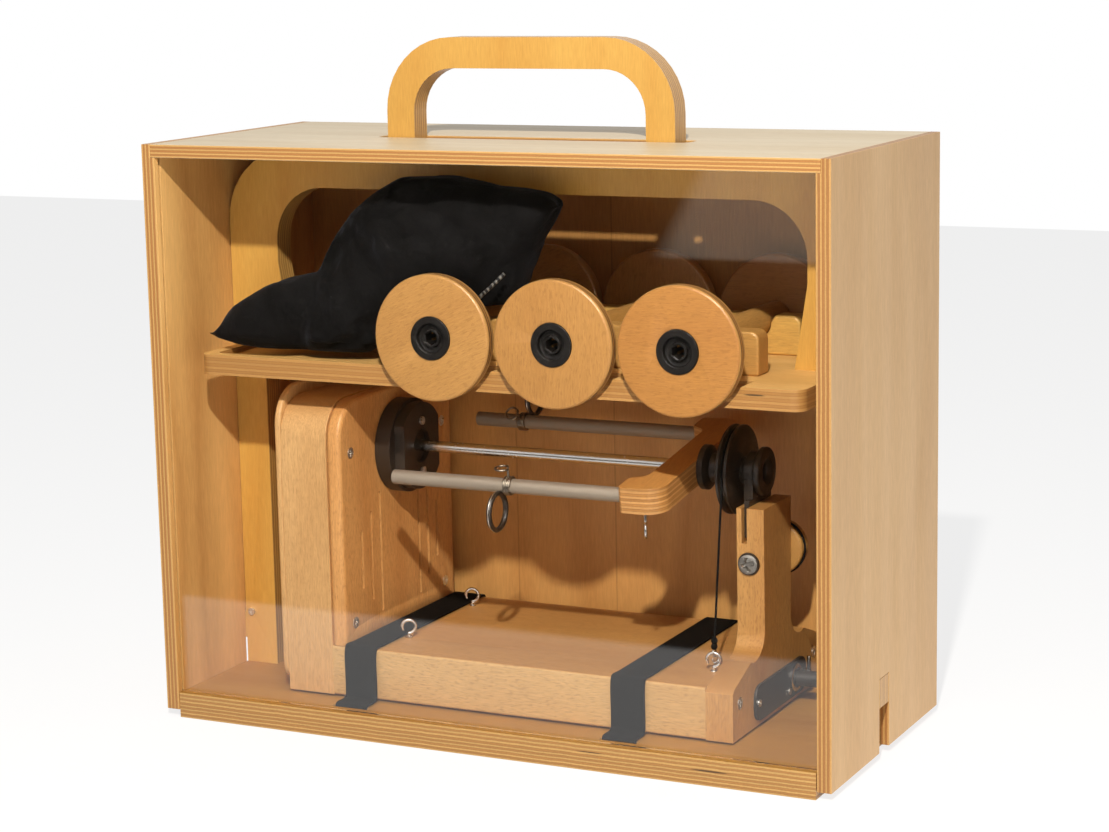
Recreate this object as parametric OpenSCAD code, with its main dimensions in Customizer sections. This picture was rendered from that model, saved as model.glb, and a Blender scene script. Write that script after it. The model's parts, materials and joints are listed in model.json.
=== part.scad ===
// Electric yarn spinner strapped into its plywood carrying case, with three
// spare bobbins on a shelf. Millimetres. X runs along the flyer, -Y is the
// front with the clear window, Z is up. Origin: middle of the base's underside.

/* [Case] */
// Outside width of the hood
case_w = 500; // [440:1:600]
// Outside depth of the hood
case_d = 212; // [204:1:260]
// Height of the hood's side panels
hood_h = 400; // [380:1:480]
// Thickness of the two side panels
side_t = 10; // [8:0.5:14]
// Thickness of the top panel
top_t = 9; // [6:0.5:12]
// Thickness of the back panel
back_t = 6; // [4:0.5:9]
// Thickness of the clear window
window_t = 3; // [2:0.5:4]
// Distance from the hood's front edges to the window
window_set = 5; // [4:0.5:10]
// Depth of the grooves that hold the window
groove_depth = 4; // [3:0.5:6]
// Running gap between the lift-off hood and what it slides over
hood_gap = 0.6; // [0.4:0.1:1.2]
// Height of the hood's lower edge above the table
hood_raise = 5.4; // [3:0.2:9]
// Depth of the rabbet that takes the top panel
rabbet = 3.3; // [2:0.1:5]
// Thickness of the base board
base_t = 18; // [15:0.5:22]
// Width of the webbing straps
strap_w = 25; // [18:0.5:30]
// Thickness of the webbing straps
strap_t = 1.8; // [1.2:0.1:2.2]
// Distance from the spinner's front to the straps' front slots
strap_foot = 16; // [12:0.5:19]

/* [Carry frame] */
// Thickness of the carry frame's plywood
frame_t = 18; // [15:0.5:19]
// Distance from the hood's front edges to the frame's front face
frame_set = 91.7; // [88:0.1:94]
// Width of the frame's legs under the shelf
leg_w = 25.4; // [20:0.2:32]
// Width of the frame's legs at their shoulder on the shelf
shoulder_w = 48; // [42:0.5:54]
// Height of the frame's top bar
bar_h = 26; // [20:1:34]
// Outside width of the handle
handle_w = 216; // [180:1:260]
// Width of the handle's own limbs
grip_w = 21; // [17:0.5:26]
// Height of the handle above the hood's top
handle_rise = 68.4; // [58:0.2:80]
// Outer corner radius of the handle
handle_r = 50; // [35:1:58]
// Inner corner radius of the handle
handle_in_r = 30; // [18:1:36]
// Inner corner radius of the frame's opening
open_r = 38; // [20:1:45]
// Outer corner radius of the frame under the hood
frame_r = 50; // [30:1:60]
// Height of each ear that reaches through a side panel
ear_h = 20; // [14:1:24]
// Height of the ears' top face above the table
ear_top = 56; // [48:0.5:62]
// Length left free at each end of the handle's slot
slot_end = 9; // [4:0.5:14]
// Clearance of the frame in the slot and the side notches
notch_gap = 0.6; // [0.4:0.1:1.2]
// Shank diameter of the wood screws that hold the frame
wood_screw = 4; // [3:0.5:5]
// Head diameter of the wood screws that hold the frame
wood_head = 9; // [7:0.5:10]

/* [Shelf and bobbin rack] */
// Thickness of the shelf
shelf_t = 14; // [12:0.5:18]
// Height of the shelf's top above the table
shelf_top = 259; // [256:0.5:275]
// Space between each end of the shelf and the side panel
shelf_side = 16.5; // [12:0.5:22]
// Distance from the hood's front edges to the shelf's front edge
shelf_set = 18.5; // [16:0.5:22]
// Distance from the shelf's rear edge to the back panel
shelf_rear = 28; // [26:0.5:29]
// Depth of the notches that the front flanges sink into
notch_depth = 22; // [16:0.5:26]
// Depth of the shallow tray at the shelf's left end
tray_depth = 4; // [2:0.5:6]
// Thickness of the two rack bars
rack_t = 18; // [14:0.5:20]
// Height of the front rack bar above the shelf
rack_front_h = 29; // [24:0.5:34]
// Height of the rear rack bar above the shelf
rack_rear_h = 27; // [23:0.5:32]
// Distance from the shelf's front edge to the front bar
rack_front_y = 39; // [34:0.5:44]
// Distance from the shelf's rear edge to the rear bar's front face
rack_rear_y = 35; // [30:0.5:40]

/* [Bobbins] */
// Number of spare bobbins
bobbin_n = 3; // [3:1:3]
// Distance between neighbouring bobbins
bobbin_pitch = 88.7; // [87:0.1:91]
// Sideways position of the middle bobbin
bobbin_mid = 55.2; // [50:0.1:60]
// Flange diameter
flange_d = 85; // [78:0.5:86]
// Flange thickness
flange_t = 10; // [7:0.5:12]
// How far a bobbin stands out past the shelf's front edge
bobbin_front = 8.5; // [8:0.1:9]
// How far a bobbin stands out past the shelf's rear edge
bobbin_back = 12; // [11.5:0.1:14]
// Core diameter
core_d = 20; // [16:0.5:24]
// Diameter of the black end bushings
bush_d = 29; // [24:0.5:34]
// Bore through core and bushings
bobbin_bore = 8.6; // [8.3:0.1:10]
// How far a bushing stands out of its flange
bush_out = 1.2; // [0.6:0.2:2]
// Gap between a bobbin core and the rack
rack_gap = 0.4; // [0.3:0.1:0.8]
// Height of a bobbin's axis above the shelf
bobbin_rise = 21.5; // [20:0.5:24]
// Space between the bag and the tray, the frame and the bobbin cores
bag_gap = 3; // [2:0.5:5]

/* [Motor housing] */
// Thickness of the housing's hollow middle block
block_t = 36.3; // [30:0.1:44]
// Thickness of the right plate with the vents
plate_t = 11; // [9:0.5:13]
// Thickness of the left cover
cover_t = 5; // [3:0.5:8]
// Distance from the spinner's rear to the back panel
body_back = 10; // [6:0.5:16]
// Distance from the hood's front edges to the spinner's front
body_set = 34; // [30:0.5:38]
// Height of the housing above the table
housing_top = 227.4; // [222:0.2:236]
// Corner radius of the housing
housing_r = 27; // [18:1:36]
// Wall left around the housing's hollow
block_wall = 12; // [9:0.5:16]
// How far the left cover stands above the block
cover_rise = 8; // [3:0.5:9]
// Width of the vent slots
vent_w = 3; // [2:0.2:4]
// Diameter of the screw bosses inside the block
boss_d = 12; // [9:0.5:14]
// Shank diameter of the housing screws
case_screw = 3; // [2.5:0.1:4]
// Head diameter of the housing screws
case_head = 8; // [6:0.5:9]

/* [Spinner base and upright] */
// Height of the spinner's base block
block_h = 35.8; // [32:0.2:40]
// Distance from the case's left outside to the base block
left_room = 118.4; // [110:0.2:124]
// Distance from the base block to the case's right outside
right_room = 99.6; // [94:0.2:106]
// Thickness of the rubber feet
foot_t = 1.6; // [1:0.2:3]
// Diameter of the rubber feet
foot_d = 16; // [12:1:20]
// Thickness of the front upright
upright_t = 19.4; // [18:0.2:24]
// Depth of the upright at its top
upright_d = 50; // [44:1:56]
// Height of the upright's top above the table
upright_top = 163.9; // [158:0.1:164]
// Width of the clamping kerf
kerf_w = 3.8; // [3:0.1:5]
// Depth of the clamping kerf
kerf_h = 24; // [18:0.5:30]
// Height of the clamp screw above the table
clamp_z = 126.4; // [112:0.1:132]
// Diameter of the clamp screw's head
clamp_head = 14.4; // [11:0.2:17]
// Shank diameter of the clamp screw
clamp_d = 6; // [5:0.5:7]
// Diameter of the wooden tension knob
tension_d = 37; // [30:0.5:40]
// Length of the wooden tension knob
tension_l = 14; // [11:0.5:18]
// Diameter of the speed knob
speed_d = 11; // [8:0.5:12]
// Length of the speed knob past the panel
speed_l = 27; // [18:0.5:30]
// Distance from the upright's front edge to the control panel
panel_front = 36; // [34:0.5:40]
// Distance from the upright's rear edge to the control panel
panel_rear = 33; // [30:0.5:38]
// Thickness of the control panel
panel_t = 2; // [1.2:0.2:3]

/* [Flyer] */
// Height of the flyer's axis above the table
axis_z = 184.8; // [184:0.1:187]
// Turn of the flyer about its axis at rest, rear arm up
flyer_tilt = 8.4; // [0:0.1:15]
// How much nearer to the axis a flyer tube is than the base block's front
tube_in = 17; // [16.5:0.1:20]
// Diameter of the flyer tubes
tube_d = 10; // [8:0.5:11]
// Wall of the flyer tubes
tube_wall = 1.2; // [0.8:0.1:2]
// Free space between the drive hub and the tubes' ends
tube_start = 13; // [10:0.5:20]
// Distance between the yoke and the brake pulley
yoke_gap = 19.1; // [17:0.1:22]
// Diameter of the steel shaft
shaft_d = 8; // [6:0.5:8]
// Thickness of the laminated yoke
yoke_t = 18; // [15:0.5:20]
// Width of the yoke's middle
yoke_w = 20; // [16:0.5:24]
// Reach of the yoke's arms past its middle
yoke_reach = 11; // [8:0.5:16]
// Diameter of the brake pulley
pulley_d = 61; // [52:0.5:61]
// Thickness of the brake pulley
pulley_t = 9.5; // [8:0.5:10]
// Diameter of the pulley's cord groove at its floor
groove_d = 54; // [44:0.5:56]
// Diameter of the orifice ring
orifice_d = 33; // [26:0.5:36]
// Bore of the orifice
orifice_bore = 12; // [8:0.5:14]
// Diameter of the neck that runs in the bearing
neck_d = 18; // [16:0.5:20]
// Diametral clearance of the turning fits
run_gap = 0.1; // [0.06:0.02:0.2]
// Outside diameter of a sliding hook's ring
eye_d = 29; // [24:0.5:30]
// Hole diameter of a sliding hook's ring
eye_hole = 21; // [16:0.5:22]
// Distance of a sliding hook's ring from its tube, outwards
eye_out = 9.8; // [7:0.1:10]
// Distance of a sliding hook's ring from its tube, sideways
eye_side = 15.5; // [15:0.1:17]
// Wire diameter of the hooks
wire_d = 1.8; // [1.4:0.1:2]

/* [Drive] */
// Diameter of the black drive hub
hub_d = 67; // [56:0.5:70]
// Length of the drive hub
hub_l = 19.5; // [16:0.5:20]
// Diameter of the large drive pulley
big_pulley_d = 60; // [50:1:66]
// Diameter of the motor pulley
small_pulley_d = 15; // [12:0.5:18]
// Height of the motor's axis above the table
motor_z = 104; // [98:0.5:108]
// Diameter of the motor
motor_d = 42; // [34:1:46]
// Length of the motor
motor_l = 15; // [12:0.5:15.5]
// Width of the drive belt
belt_w = 6; // [4:0.5:7]

/* [Hidden] */
$fn = 96;
e = 0.01;

// Case levels and faces
front_y = -case_d / 2;
rear_y = case_d / 2;
side_x = case_w / 2 - side_t;
hood_top_z = hood_raise + hood_h;
ceiling_z = hood_top_z - top_t;
base_x = side_x - hood_gap;
base_rear = rear_y - back_t - hood_gap;
frame_y = front_y + frame_set;
frame_mid = frame_y + frame_t / 2;
frame_x = side_x - hood_gap;
frame_top = ceiling_z - 1.4;
handle_top = hood_top_z + handle_rise;

// Shelf and bobbins
shelf_y = front_y + shelf_set;
shelf_mid_x = 1.5;
shelf_end = 0.5;
shelf_w = 2 * (side_x - shelf_side);
shelf_d = case_d - back_t - shelf_set - shelf_rear;
shelf_floor = shelf_top - shelf_t;
bobbin_l = shelf_d + bobbin_front + bobbin_back;
bobbin_z = shelf_top + bobbin_rise;
bobbin_y = shelf_y - bobbin_front;
bobbin_x = [for (i = [0 : bobbin_n - 1]) bobbin_mid + (i - 1) * bobbin_pitch];
rack_l = bobbin_mid - bobbin_pitch - flange_d / 2 - 4;
rack_r = bobbin_mid + bobbin_pitch + 36;
notch_r = flange_d / 2 + 2.5;

// Spinner
body_y = front_y + body_set;
body_d = case_d - back_t - body_set - body_back;
axis_y = body_y + body_d / 2;
body_rear = body_y + body_d;
block_z = base_t + foot_t;
deck_z = block_z + block_h;
deck_l = left_room - case_w / 2;
deck_r = case_w / 2 - right_room;
plate_r = deck_l + plate_t;
block_left = deck_l - block_t;
cover_left = block_left - cover_t;
cover_top = housing_top + cover_rise;
hub_x = plate_r + 0.4;
hub_r_x = hub_x + hub_l;
up_l = deck_r;
up_r = deck_r + upright_t;
up_mid = (up_l + up_r) / 2;
kerf_x = up_l + 3.5;
pulley_x0 = up_l - 4.5 - pulley_t;
pulley_x1 = pulley_x0 + pulley_t;
tube_x0 = hub_r_x + tube_start;
yoke_x2 = pulley_x0 - yoke_gap;
yoke_x1 = yoke_x2 - yoke_w;
yoke_x0 = yoke_x1 - yoke_reach;
tube_r = body_d / 2 - tube_in;
arm_r = tube_r + 10;
block_x0 = up_l + 0.6;
block_x1 = kerf_x + kerf_w - 0.3;
ring_x0 = block_x1 + 0.6;
ring_l = 5;
bearing_d = 22;
bearing_t = 7;
carrier_t = 12;
carrier_d = 32;
belt_x = deck_l - 24;
motor_x = deck_l - 0.3;
shaft_bore = shaft_d + run_gap;

// Colours
pale = [0.87, 0.71, 0.47];
beech = [0.84, 0.62, 0.38];
black = [0.10, 0.10, 0.11];
steel = [0.72, 0.72, 0.73];

// Box from one corner to the other
module box(a, b) {
    translate(a)
        cube([b[0] - a[0], b[1] - a[1], b[2] - a[2]]);
}

// Cylinder along X from x0 to x1 round (y, z)
module rod_x(x0, x1, d, y, z) {
    translate([x0, y, z])
        rotate([0, 90, 0])
            cylinder(h = x1 - x0, d = d);
}

// Cylinder along Y from y0 to y1 round (x, z)
module rod_y(y0, y1, d, x, z) {
    translate([x, y1, z])
        rotate([90, 0, 0])
            cylinder(h = y1 - y0, d = d);
}

// Flat shape drawn in (x, z), made thick from y0 to y1
module slab_y(y0, y1) {
    translate([0, y1, 0])
        rotate([90, 0, 0])
            linear_extrude(height = y1 - y0)
                children();
}

// Flat shape drawn in (y, z), made thick from x0 to x1
module slab_x(x0, x1) {
    translate([x0, 0, 0])
        rotate([90, 0, 90])
            linear_extrude(height = x1 - x0)
                children();
}

// Points of an arc round c from angle a to angle b
function arc(c, r, a, b, n = 10) =
    [for (i = [0 : n]) c + r * [cos(a + (b - a) * i / n), sin(a + (b - a) * i / n)]];

// Points of a rounded rectangle
function round_rect(x0, y0, x1, y1, r) = concat(
    arc([x1 - r, y0 + r], r, -90, 0), arc([x1 - r, y1 - r], r, 0, 90),
    arc([x0 + r, y1 - r], r, 90, 180), arc([x0 + r, y0 + r], r, 180, 270));

// Countersunk or pan screw head with a short shank, pointing along +Z
module screw(head_d, head_t, shank_d, shank_l) {
    difference() {
        union() {
            cylinder(h = head_t, d = head_d);
            translate([0, 0, -shank_l])
                cylinder(h = shank_l + e, d = shank_d);
        }
        for (a = [0, 90])
            rotate([0, 0, a])
                translate([-head_d * 0.28, -head_d * 0.06, head_t * 0.5])
                    cube([head_d * 0.56, head_d * 0.12, head_t]);
    }
}

// ---------------------------------------------------------------- case

strap_x = [plate_r + 0.3, deck_r - strap_w - 42];
slot_t = 4;

module strap_slot(x) {
    box([x - 1, body_y - strap_foot - slot_t, -1], [x + strap_w + 1, body_y - strap_foot, base_t + 1]);
    box([x - 1, body_rear + 2, -1], [x + strap_w + 1, body_rear + 2 + slot_t, base_t + 1]);
    box([x - 1, body_y - strap_foot - slot_t, -1], [x + strap_w + 1, body_rear + 2 + slot_t, 3.2]);
}

module base_board() {
    color(pale)
        difference() {
            box([-base_x, front_y, 0], [base_x, base_rear, base_t]);
            for (x = strap_x)
                strap_slot(x);
            for (s = [-1, 1])
                translate([s * (frame_x - leg_w / 2), frame_mid, -1])
                    cylinder(h = base_t + 2, d = wood_screw + 1);
            for (s = [-1, 1])
                translate([s * (frame_x - leg_w / 2), frame_mid, -1])
                    cylinder(h = 5, d = wood_head + 2);
        }
}

frame_in = frame_x - shoulder_w + 9;
bar_z = frame_top - bar_h;
shoulder_x = frame_x - (shoulder_w + leg_w) / 2;

// Right half of the frame's outline, from the top bar's underside to the handle
frame_pts = concat(
        arc([frame_in - open_r, bar_z - open_r], open_r, 90, 0),
        [[frame_in, shelf_top + 56], [frame_x - shoulder_w, shelf_top + 0.02],
         [frame_x - leg_w, shelf_top + 0.02], [frame_x - leg_w, base_t + 0.02],
         [frame_x, base_t + 0.02], [frame_x, ear_top - ear_h],
         [case_w / 2 - 0.2, ear_top - ear_h], [case_w / 2 - 0.2, ear_top - 0.3], [frame_x, ear_top - 0.3]],
        arc([frame_x - frame_r, frame_top - frame_r], frame_r, 0, 90),
        [[handle_w / 2, frame_top]],
        arc([handle_w / 2 - handle_r, handle_top - handle_r], handle_r, 0, 90));

module handle_hole() {
    w = handle_w / 2 - grip_w;
    polygon(concat(
        [[-w, frame_top], [w, frame_top]],
        arc([w - handle_in_r, handle_top - grip_w - handle_in_r], handle_in_r, 0, 90),
        arc([handle_in_r - w, handle_top - grip_w - handle_in_r], handle_in_r, 90, 180)));
}

module carry_frame() {
    color([0.90, 0.66, 0.28])
        difference() {
            slab_y(frame_y, frame_y + frame_t)
                difference() {
                    polygon(concat(frame_pts,
                        [for (i = [len(frame_pts) - 1 : -1 : 0]) [-frame_pts[i][0], frame_pts[i][1]]]));
                    handle_hole();
                }
            for (s = [-1, 1])
                translate([s * (frame_x - leg_w / 2), frame_mid, base_t - 1])
                    cylinder(h = 26, d = wood_screw);
            for (s = [-1, 1])
                translate([s * shoulder_x, frame_mid, shelf_top - 1])
                    cylinder(h = 22, d = wood_screw);
            for (s = [-1, 1])
                rod_y(frame_y - 1, frame_y + 12, 3.2, s * (frame_x - 5), ear_top);
        }
}

module frame_screws() {
    color(steel) {
        for (s = [-1, 1])
            translate([s * (frame_x - leg_w / 2), frame_mid, 4])
                rotate([180, 0, 0])
                    screw(wood_head, 2.6, wood_screw, base_t + 16);
        for (s = [-1, 1])
            translate([s * shoulder_x, frame_mid, shelf_floor + 2.6])
                rotate([180, 0, 0])
                    screw(wood_head, 2.6, wood_screw, shelf_t + 14);
        for (s = [-1, 1])
            translate([s * (frame_x - 5), frame_y, ear_top])
                rotate([90, 0, 0])
                    screw(5.6, 1.2, 3.2, 10);
    }
}

module shelf() {
    x0 = shelf_mid_x - shelf_w / 2;
    x1 = shelf_mid_x + shelf_w / 2;
    tray_r = rack_l - 12;
    color(pale)
        difference() {
            translate([0, 0, shelf_floor])
                linear_extrude(height = shelf_t)
                    polygon(round_rect(x0, shelf_y, x1, shelf_y + shelf_d, 9));
            for (x = bobbin_x)
                rod_y(shelf_y - 1, shelf_y + notch_depth, notch_r * 2, x, bobbin_z);
            for (s = [-1, 1])
                box([s * frame_x - leg_w - shelf_end, frame_y - shelf_end, shelf_floor - 1],
                    [s * frame_x + leg_w + shelf_end, frame_y + frame_t + shelf_end, shelf_top + 1]);
            translate([0, 0, shelf_top - tray_depth])
                linear_extrude(height = tray_depth + 1)
                    polygon(round_rect(x0 + 9, shelf_y + 9, tray_r, frame_y - 6, 5));
            for (s = [-1, 1])
                translate([s * shoulder_x, frame_mid, shelf_floor - 1]) {
                    cylinder(h = 3.62, d = wood_head + 0.4);
                    cylinder(h = shelf_t + 2, d = wood_screw);
                }
        }
}

// Rack bar with one U notch for each bobbin core
module rack_bar(y, h, x1) {
    slab_y(y, y + rack_t)
        difference() {
            polygon(concat(
                [[rack_l, shelf_top + 0.02], [x1, shelf_top + 0.02]],
                arc([x1 - 6, shelf_top + h - 6], 6, 0, 90, 6),
                arc([rack_l + 6, shelf_top + h - 6], 6, 90, 180, 6)));
            for (x = bobbin_x)
                union() {
                    translate([x, bobbin_z])
                        circle(d = core_d + 2 * rack_gap);
                    polygon([[x - core_d / 2 - rack_gap, bobbin_z], [x + core_d / 2 + rack_gap, bobbin_z],
                        [x + core_d / 2 + 4, shelf_top + h + 1], [x - core_d / 2 - 4, shelf_top + h + 1]]);
                }
        }
}

module rack_front() {
    color(pale)
        rack_bar(shelf_y + rack_front_y, rack_front_h, rack_r);
}

module rack_rear() {
    color(pale)
        rack_bar(shelf_y + shelf_d - rack_rear_y, rack_rear_h, rack_r - 4);
}

// Webbing strap over the base block and down through the case's base
module strap(x) {
    top = deck_z + 0.3;
    f = body_y - 0.3;
    r = body_rear + 0.3;
    foot = body_y - strap_foot - 1;
    tail = body_rear + 3;
    slab_x(x, x + strap_w)
        difference() {
            polygon([[foot - strap_t, 0.8], [foot - strap_t, base_t + 1], [f - strap_t, top],
                [f, top + strap_t], [r, top + strap_t], [r + strap_t, top],
                [tail + strap_t, base_t + 1], [tail + strap_t, 0.8]]);
            polygon([[foot, 0.8 + strap_t], [foot, base_t + 1], [f, top],
                [r, top], [tail, base_t + 1], [tail, 0.8 + strap_t]]);
        }
}

module strap_left() {
    color(black)
        strap(strap_x[0]);
}

module strap_right() {
    color(black)
        strap(strap_x[1]);
}

bag_y0 = shelf_y + 10;
bag_y1 = frame_y - bag_gap;
bag_low = 0.3 - tray_depth;
bag_over = rack_front_h + bag_gap + 3;

// Outline of the storage bag, seen from the front, in heights above the shelf
bag_shape = [[-220, 2], [-222, 11], [-216, 22], [-207, 34], [-190, 42], [-169, 50], [-159, 55],
    [-137, 57], [-132, 69], [-118, 90], [-104, 103], [-91, 113], [-78, 121], [-58, 124],
    [-38, 121], [-10, 116], [17, 115], [30, 114], [33, 102], [23, 86], [14, 73], [4, bag_over + 6],
    [3, bag_over], [rack_l + 4, bag_over], [rack_l - 4, bag_over - 6], [rack_l - 8, 3], [rack_l - 12, 0.3],
    [rack_l - 15, 0.3], [rack_l - 18, bag_low], [-204, bag_low], [-208, 0.3]];
bag_k = (rack_l + frame_x - 16.4) / 143;
bag_line = [for (p = bag_shape) [p[0] < rack_l ? rack_l + bag_k * (p[0] - rack_l) : p[0], p[1] + shelf_top]];

module storage_bag() {
    color(black)
        union() {
            slab_y(bag_y0 + 7, bag_y1 - 7)
                polygon(bag_line);
            slab_y(bag_y0, bag_y1)
                offset(delta = -7)
                    polygon(bag_line);
        }
}

// ---------------------------------------------------------------- hood

win_y = front_y + window_set;

module hood_side(s) {
    x0 = s > 0 ? side_x : -case_w / 2;
    x1 = s > 0 ? case_w / 2 : -side_x;
    gx0 = s > 0 ? side_x - 1 : -side_x - groove_depth;
    gx1 = s > 0 ? side_x + groove_depth : -side_x + 1;
    rx0 = s > 0 ? side_x - 1 : -side_x - rabbet;
    rx1 = s > 0 ? side_x + rabbet : -side_x + 1;
    difference() {
        box([x0, front_y, hood_raise], [x1, rear_y, hood_top_z]);
        box([x0 - 1, frame_y - notch_gap, hood_raise - 1], [x1 + 1, frame_y + frame_t + notch_gap, ear_top]);
        box([gx0, win_y - 0.1, hood_raise - 1], [gx1, win_y + window_t + 0.1, hood_top_z + 1 - top_t]);
        box([rx0, front_y - 1, ceiling_z], [rx1, rear_y + 1, hood_top_z + 1]);
    }
}

module hood_left() {
    color(beech)
        hood_side(-1);
}

module hood_right() {
    color(beech)
        hood_side(1);
}

module hood_top() {
    w = side_x + rabbet;
    slot = handle_w / 2 + slot_end;
    sy = frame_y - notch_gap - 0.6;
    sd = frame_t + 2 * notch_gap + 1.2;
    color(pale)
        difference() {
            box([-w, front_y, ceiling_z], [w, rear_y, hood_top_z]);
            translate([0, 0, ceiling_z - 1])
                linear_extrude(height = top_t + 2)
                    polygon(round_rect(-slot, sy, slot, sy + sd, 6));
            box([-side_x - groove_depth + 0.2, win_y - 0.1, ceiling_z - 1],
                [side_x + groove_depth - 0.2, win_y + window_t + 0.1, ceiling_z + 3]);
        }
}

module hood_back() {
    color(beech)
        box([-side_x, rear_y - back_t, hood_raise], [side_x, rear_y, ceiling_z]);
}

module hood_window() {
    w = side_x + groove_depth - 0.3;
    color([0.85, 0.9, 0.92, 0.3])
        difference() {
            box([-w, win_y, base_t + 0.4], [w, win_y + window_t, ceiling_z + 2.8]);
            for (s = [-1, 1])
                box([s > 0 ? side_x + rabbet : -w - 1, win_y - 1, ceiling_z],
                    [s > 0 ? w + 1 : -side_x - rabbet, win_y + window_t + 1, ceiling_z + 4]);
        }
}

// ---------------------------------------------------------------- bobbins

module flange(y, flip) {
    r = flange_d / 2;
    translate([0, y, 0])
        rotate([-90, 0, 0])
            rotate_extrude()
                difference() {
                    polygon(concat(
                        [[core_d / 2, 0]],
                        arc([r - 2, 2], 2, -90, 0, 5),
                        arc([r - 2, flange_t - 2], 2, 0, 90, 5),
                        [[core_d / 2, flange_t]]));
                    if (flip)
                        translate([core_d / 2 - 1, flange_t - 3])
                            square([(bush_d - core_d) / 2 + 1, 4]);
                    else
                        translate([core_d / 2 - 1, -1])
                            square([(bush_d - core_d) / 2 + 1, 4]);
                }
}

module bushing(y, s) {
    translate([0, y, 0])
        rotate([s > 0 ? 90 : -90, 0, 0])
            difference() {
                union() {
                    translate([0, 0, -bush_out])
                        cylinder(h = bush_out + 3, d = bush_d);
                    translate([0, 0, 0])
                        cylinder(h = 9, d = core_d * 0.66);
                }
                translate([0, 0, -bush_out - 1])
                    cylinder(h = 3, d = bush_d * 0.66);
                translate([0, 0, -bush_out - 1])
                    cylinder(h = 14, d = bobbin_bore);
            }
}

module bobbin_at(i) {
    translate([bobbin_x[i], bobbin_y, bobbin_z])
        children();
}

module bobbin_flanges(i) {
    color(beech)
        bobbin_at(i) {
            flange(0, false);
            flange(bobbin_l - flange_t, true);
        }
}

module bobbin_core(i) {
    color(beech)
        bobbin_at(i)
            difference() {
                rod_y(3, bobbin_l - 3, core_d, 0, 0);
                rod_y(2, bobbin_l - 2, bobbin_bore, 0, 0);
                rod_y(2, 9, core_d * 0.66, 0, 0);
                rod_y(bobbin_l - 9, bobbin_l - 2, core_d * 0.66, 0, 0);
            }
}

module bobbin_bushings(i) {
    color(black)
        bobbin_at(i) {
            bushing(0, -1);
            bushing(bobbin_l, 1);
        }
}

module bobbin1_flanges() {
    bobbin_flanges(0);
}

module bobbin1_core() {
    bobbin_core(0);
}

module bobbin1_bushings() {
    bobbin_bushings(0);
}

module bobbin2_flanges() {
    bobbin_flanges(1);
}

module bobbin2_core() {
    bobbin_core(1);
}

module bobbin2_bushings() {
    bobbin_bushings(1);
}

module bobbin3_flanges() {
    bobbin_flanges(2);
}

module bobbin3_core() {
    bobbin_core(2);
}

module bobbin3_bushings() {
    bobbin_bushings(2);
}

// ---------------------------------------------------------------- spinner body

foot_xy = [for (x = [deck_l + 22, deck_r - 12], y = [body_y + 18, body_rear - 18]) [x, y]];
hook_xy = [[plate_r + strap_w + 4, body_y + 38], [plate_r + strap_w + 4, body_rear - 28]];
eye_xy = [deck_r - 9.6, body_y + 38];
cord_x = pulley_x0 + pulley_t / 2;
pocket = [deck_r - 36, axis_y - 28, block_z + 6];
panel_y0 = body_y + panel_front;
panel_y1 = body_rear - panel_rear;
panel_z0 = block_z + 3.6;
panel_z1 = block_z + 28;
knob_y = axis_y + 27;
knob_z = block_z + 16.4;
panel_screw_yz = [[panel_y0 + 4.6, panel_z1 - 11.5], [knob_y - 11.5, panel_z0 + 6]];
lever_y = axis_y + 43;
lever_z = block_z + 15;
upright_screw_y = body_y + 12.6;
upright_screw_z = block_z + 23.7;

module spinner_base() {
    color(pale)
        difference() {
            slab_x(deck_l, deck_r)
                polygon(round_rect(body_y, block_z, body_rear, deck_z, 2));
            box([pocket[0], pocket[1], pocket[2]], [deck_r + 1, pocket[1] + 74, deck_z - 6]);
            for (p = hook_xy)
                translate([p[0], p[1], deck_z - 10])
                    cylinder(h = 11, d = 2.6);
            translate([eye_xy[0], eye_xy[1], deck_z - 10])
                cylinder(h = 11, d = 2.6);
            for (y = [upright_screw_y, body_rear - (upright_screw_y - body_y)])
                rod_x(deck_r - 24, deck_r + 1, 4, y, upright_screw_z);
        }
}

module spinner_feet() {
    color(black)
        for (p = foot_xy)
            translate([p[0], p[1], base_t])
                cylinder(h = foot_t, d = foot_d);
}

// Open steel cup hook standing on a surface
module cup_hook(p, r) {
    translate([p[0], p[1], deck_z]) {
        translate([0, 0, -9.8])
            cylinder(h = 12.8, d = 2.6, $fn = 24);
        translate([0, 0, 3 + r])
            rotate([90, 0, 0])
                rotate([0, 0, -90])
                    rotate_extrude(angle = 300)
                        translate([r, 0])
                            circle(d = 2.2, $fn = 20);
    }
}

module base_hooks() {
    color(steel)
        for (p = hook_xy)
            cup_hook(p, 5);
}

module brake_eye() {
    color(steel)
        cup_hook(eye_xy, 5);
}

// Outline of the upright in (y, z): a post with a flared foot
module upright_line() {
    a = upright_d / 2;
    b = body_d / 2;
    toe = deck_z - 0.4;
    heel = deck_z + 9;
    polygon([for (p = concat(
        [[-b, block_z], [-b, toe - 3], [3 - b, toe]],
        arc([-a - 17, heel + 18], 18, -112, 0, 12),
        [[-a, upright_top], [a, upright_top]],
        arc([a + 17, heel + 18], 18, 180, 292, 12),
        [[b - 3, toe], [b, toe - 3], [b, block_z]])) [axis_y + p[0], p[1]]]);
}

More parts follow.
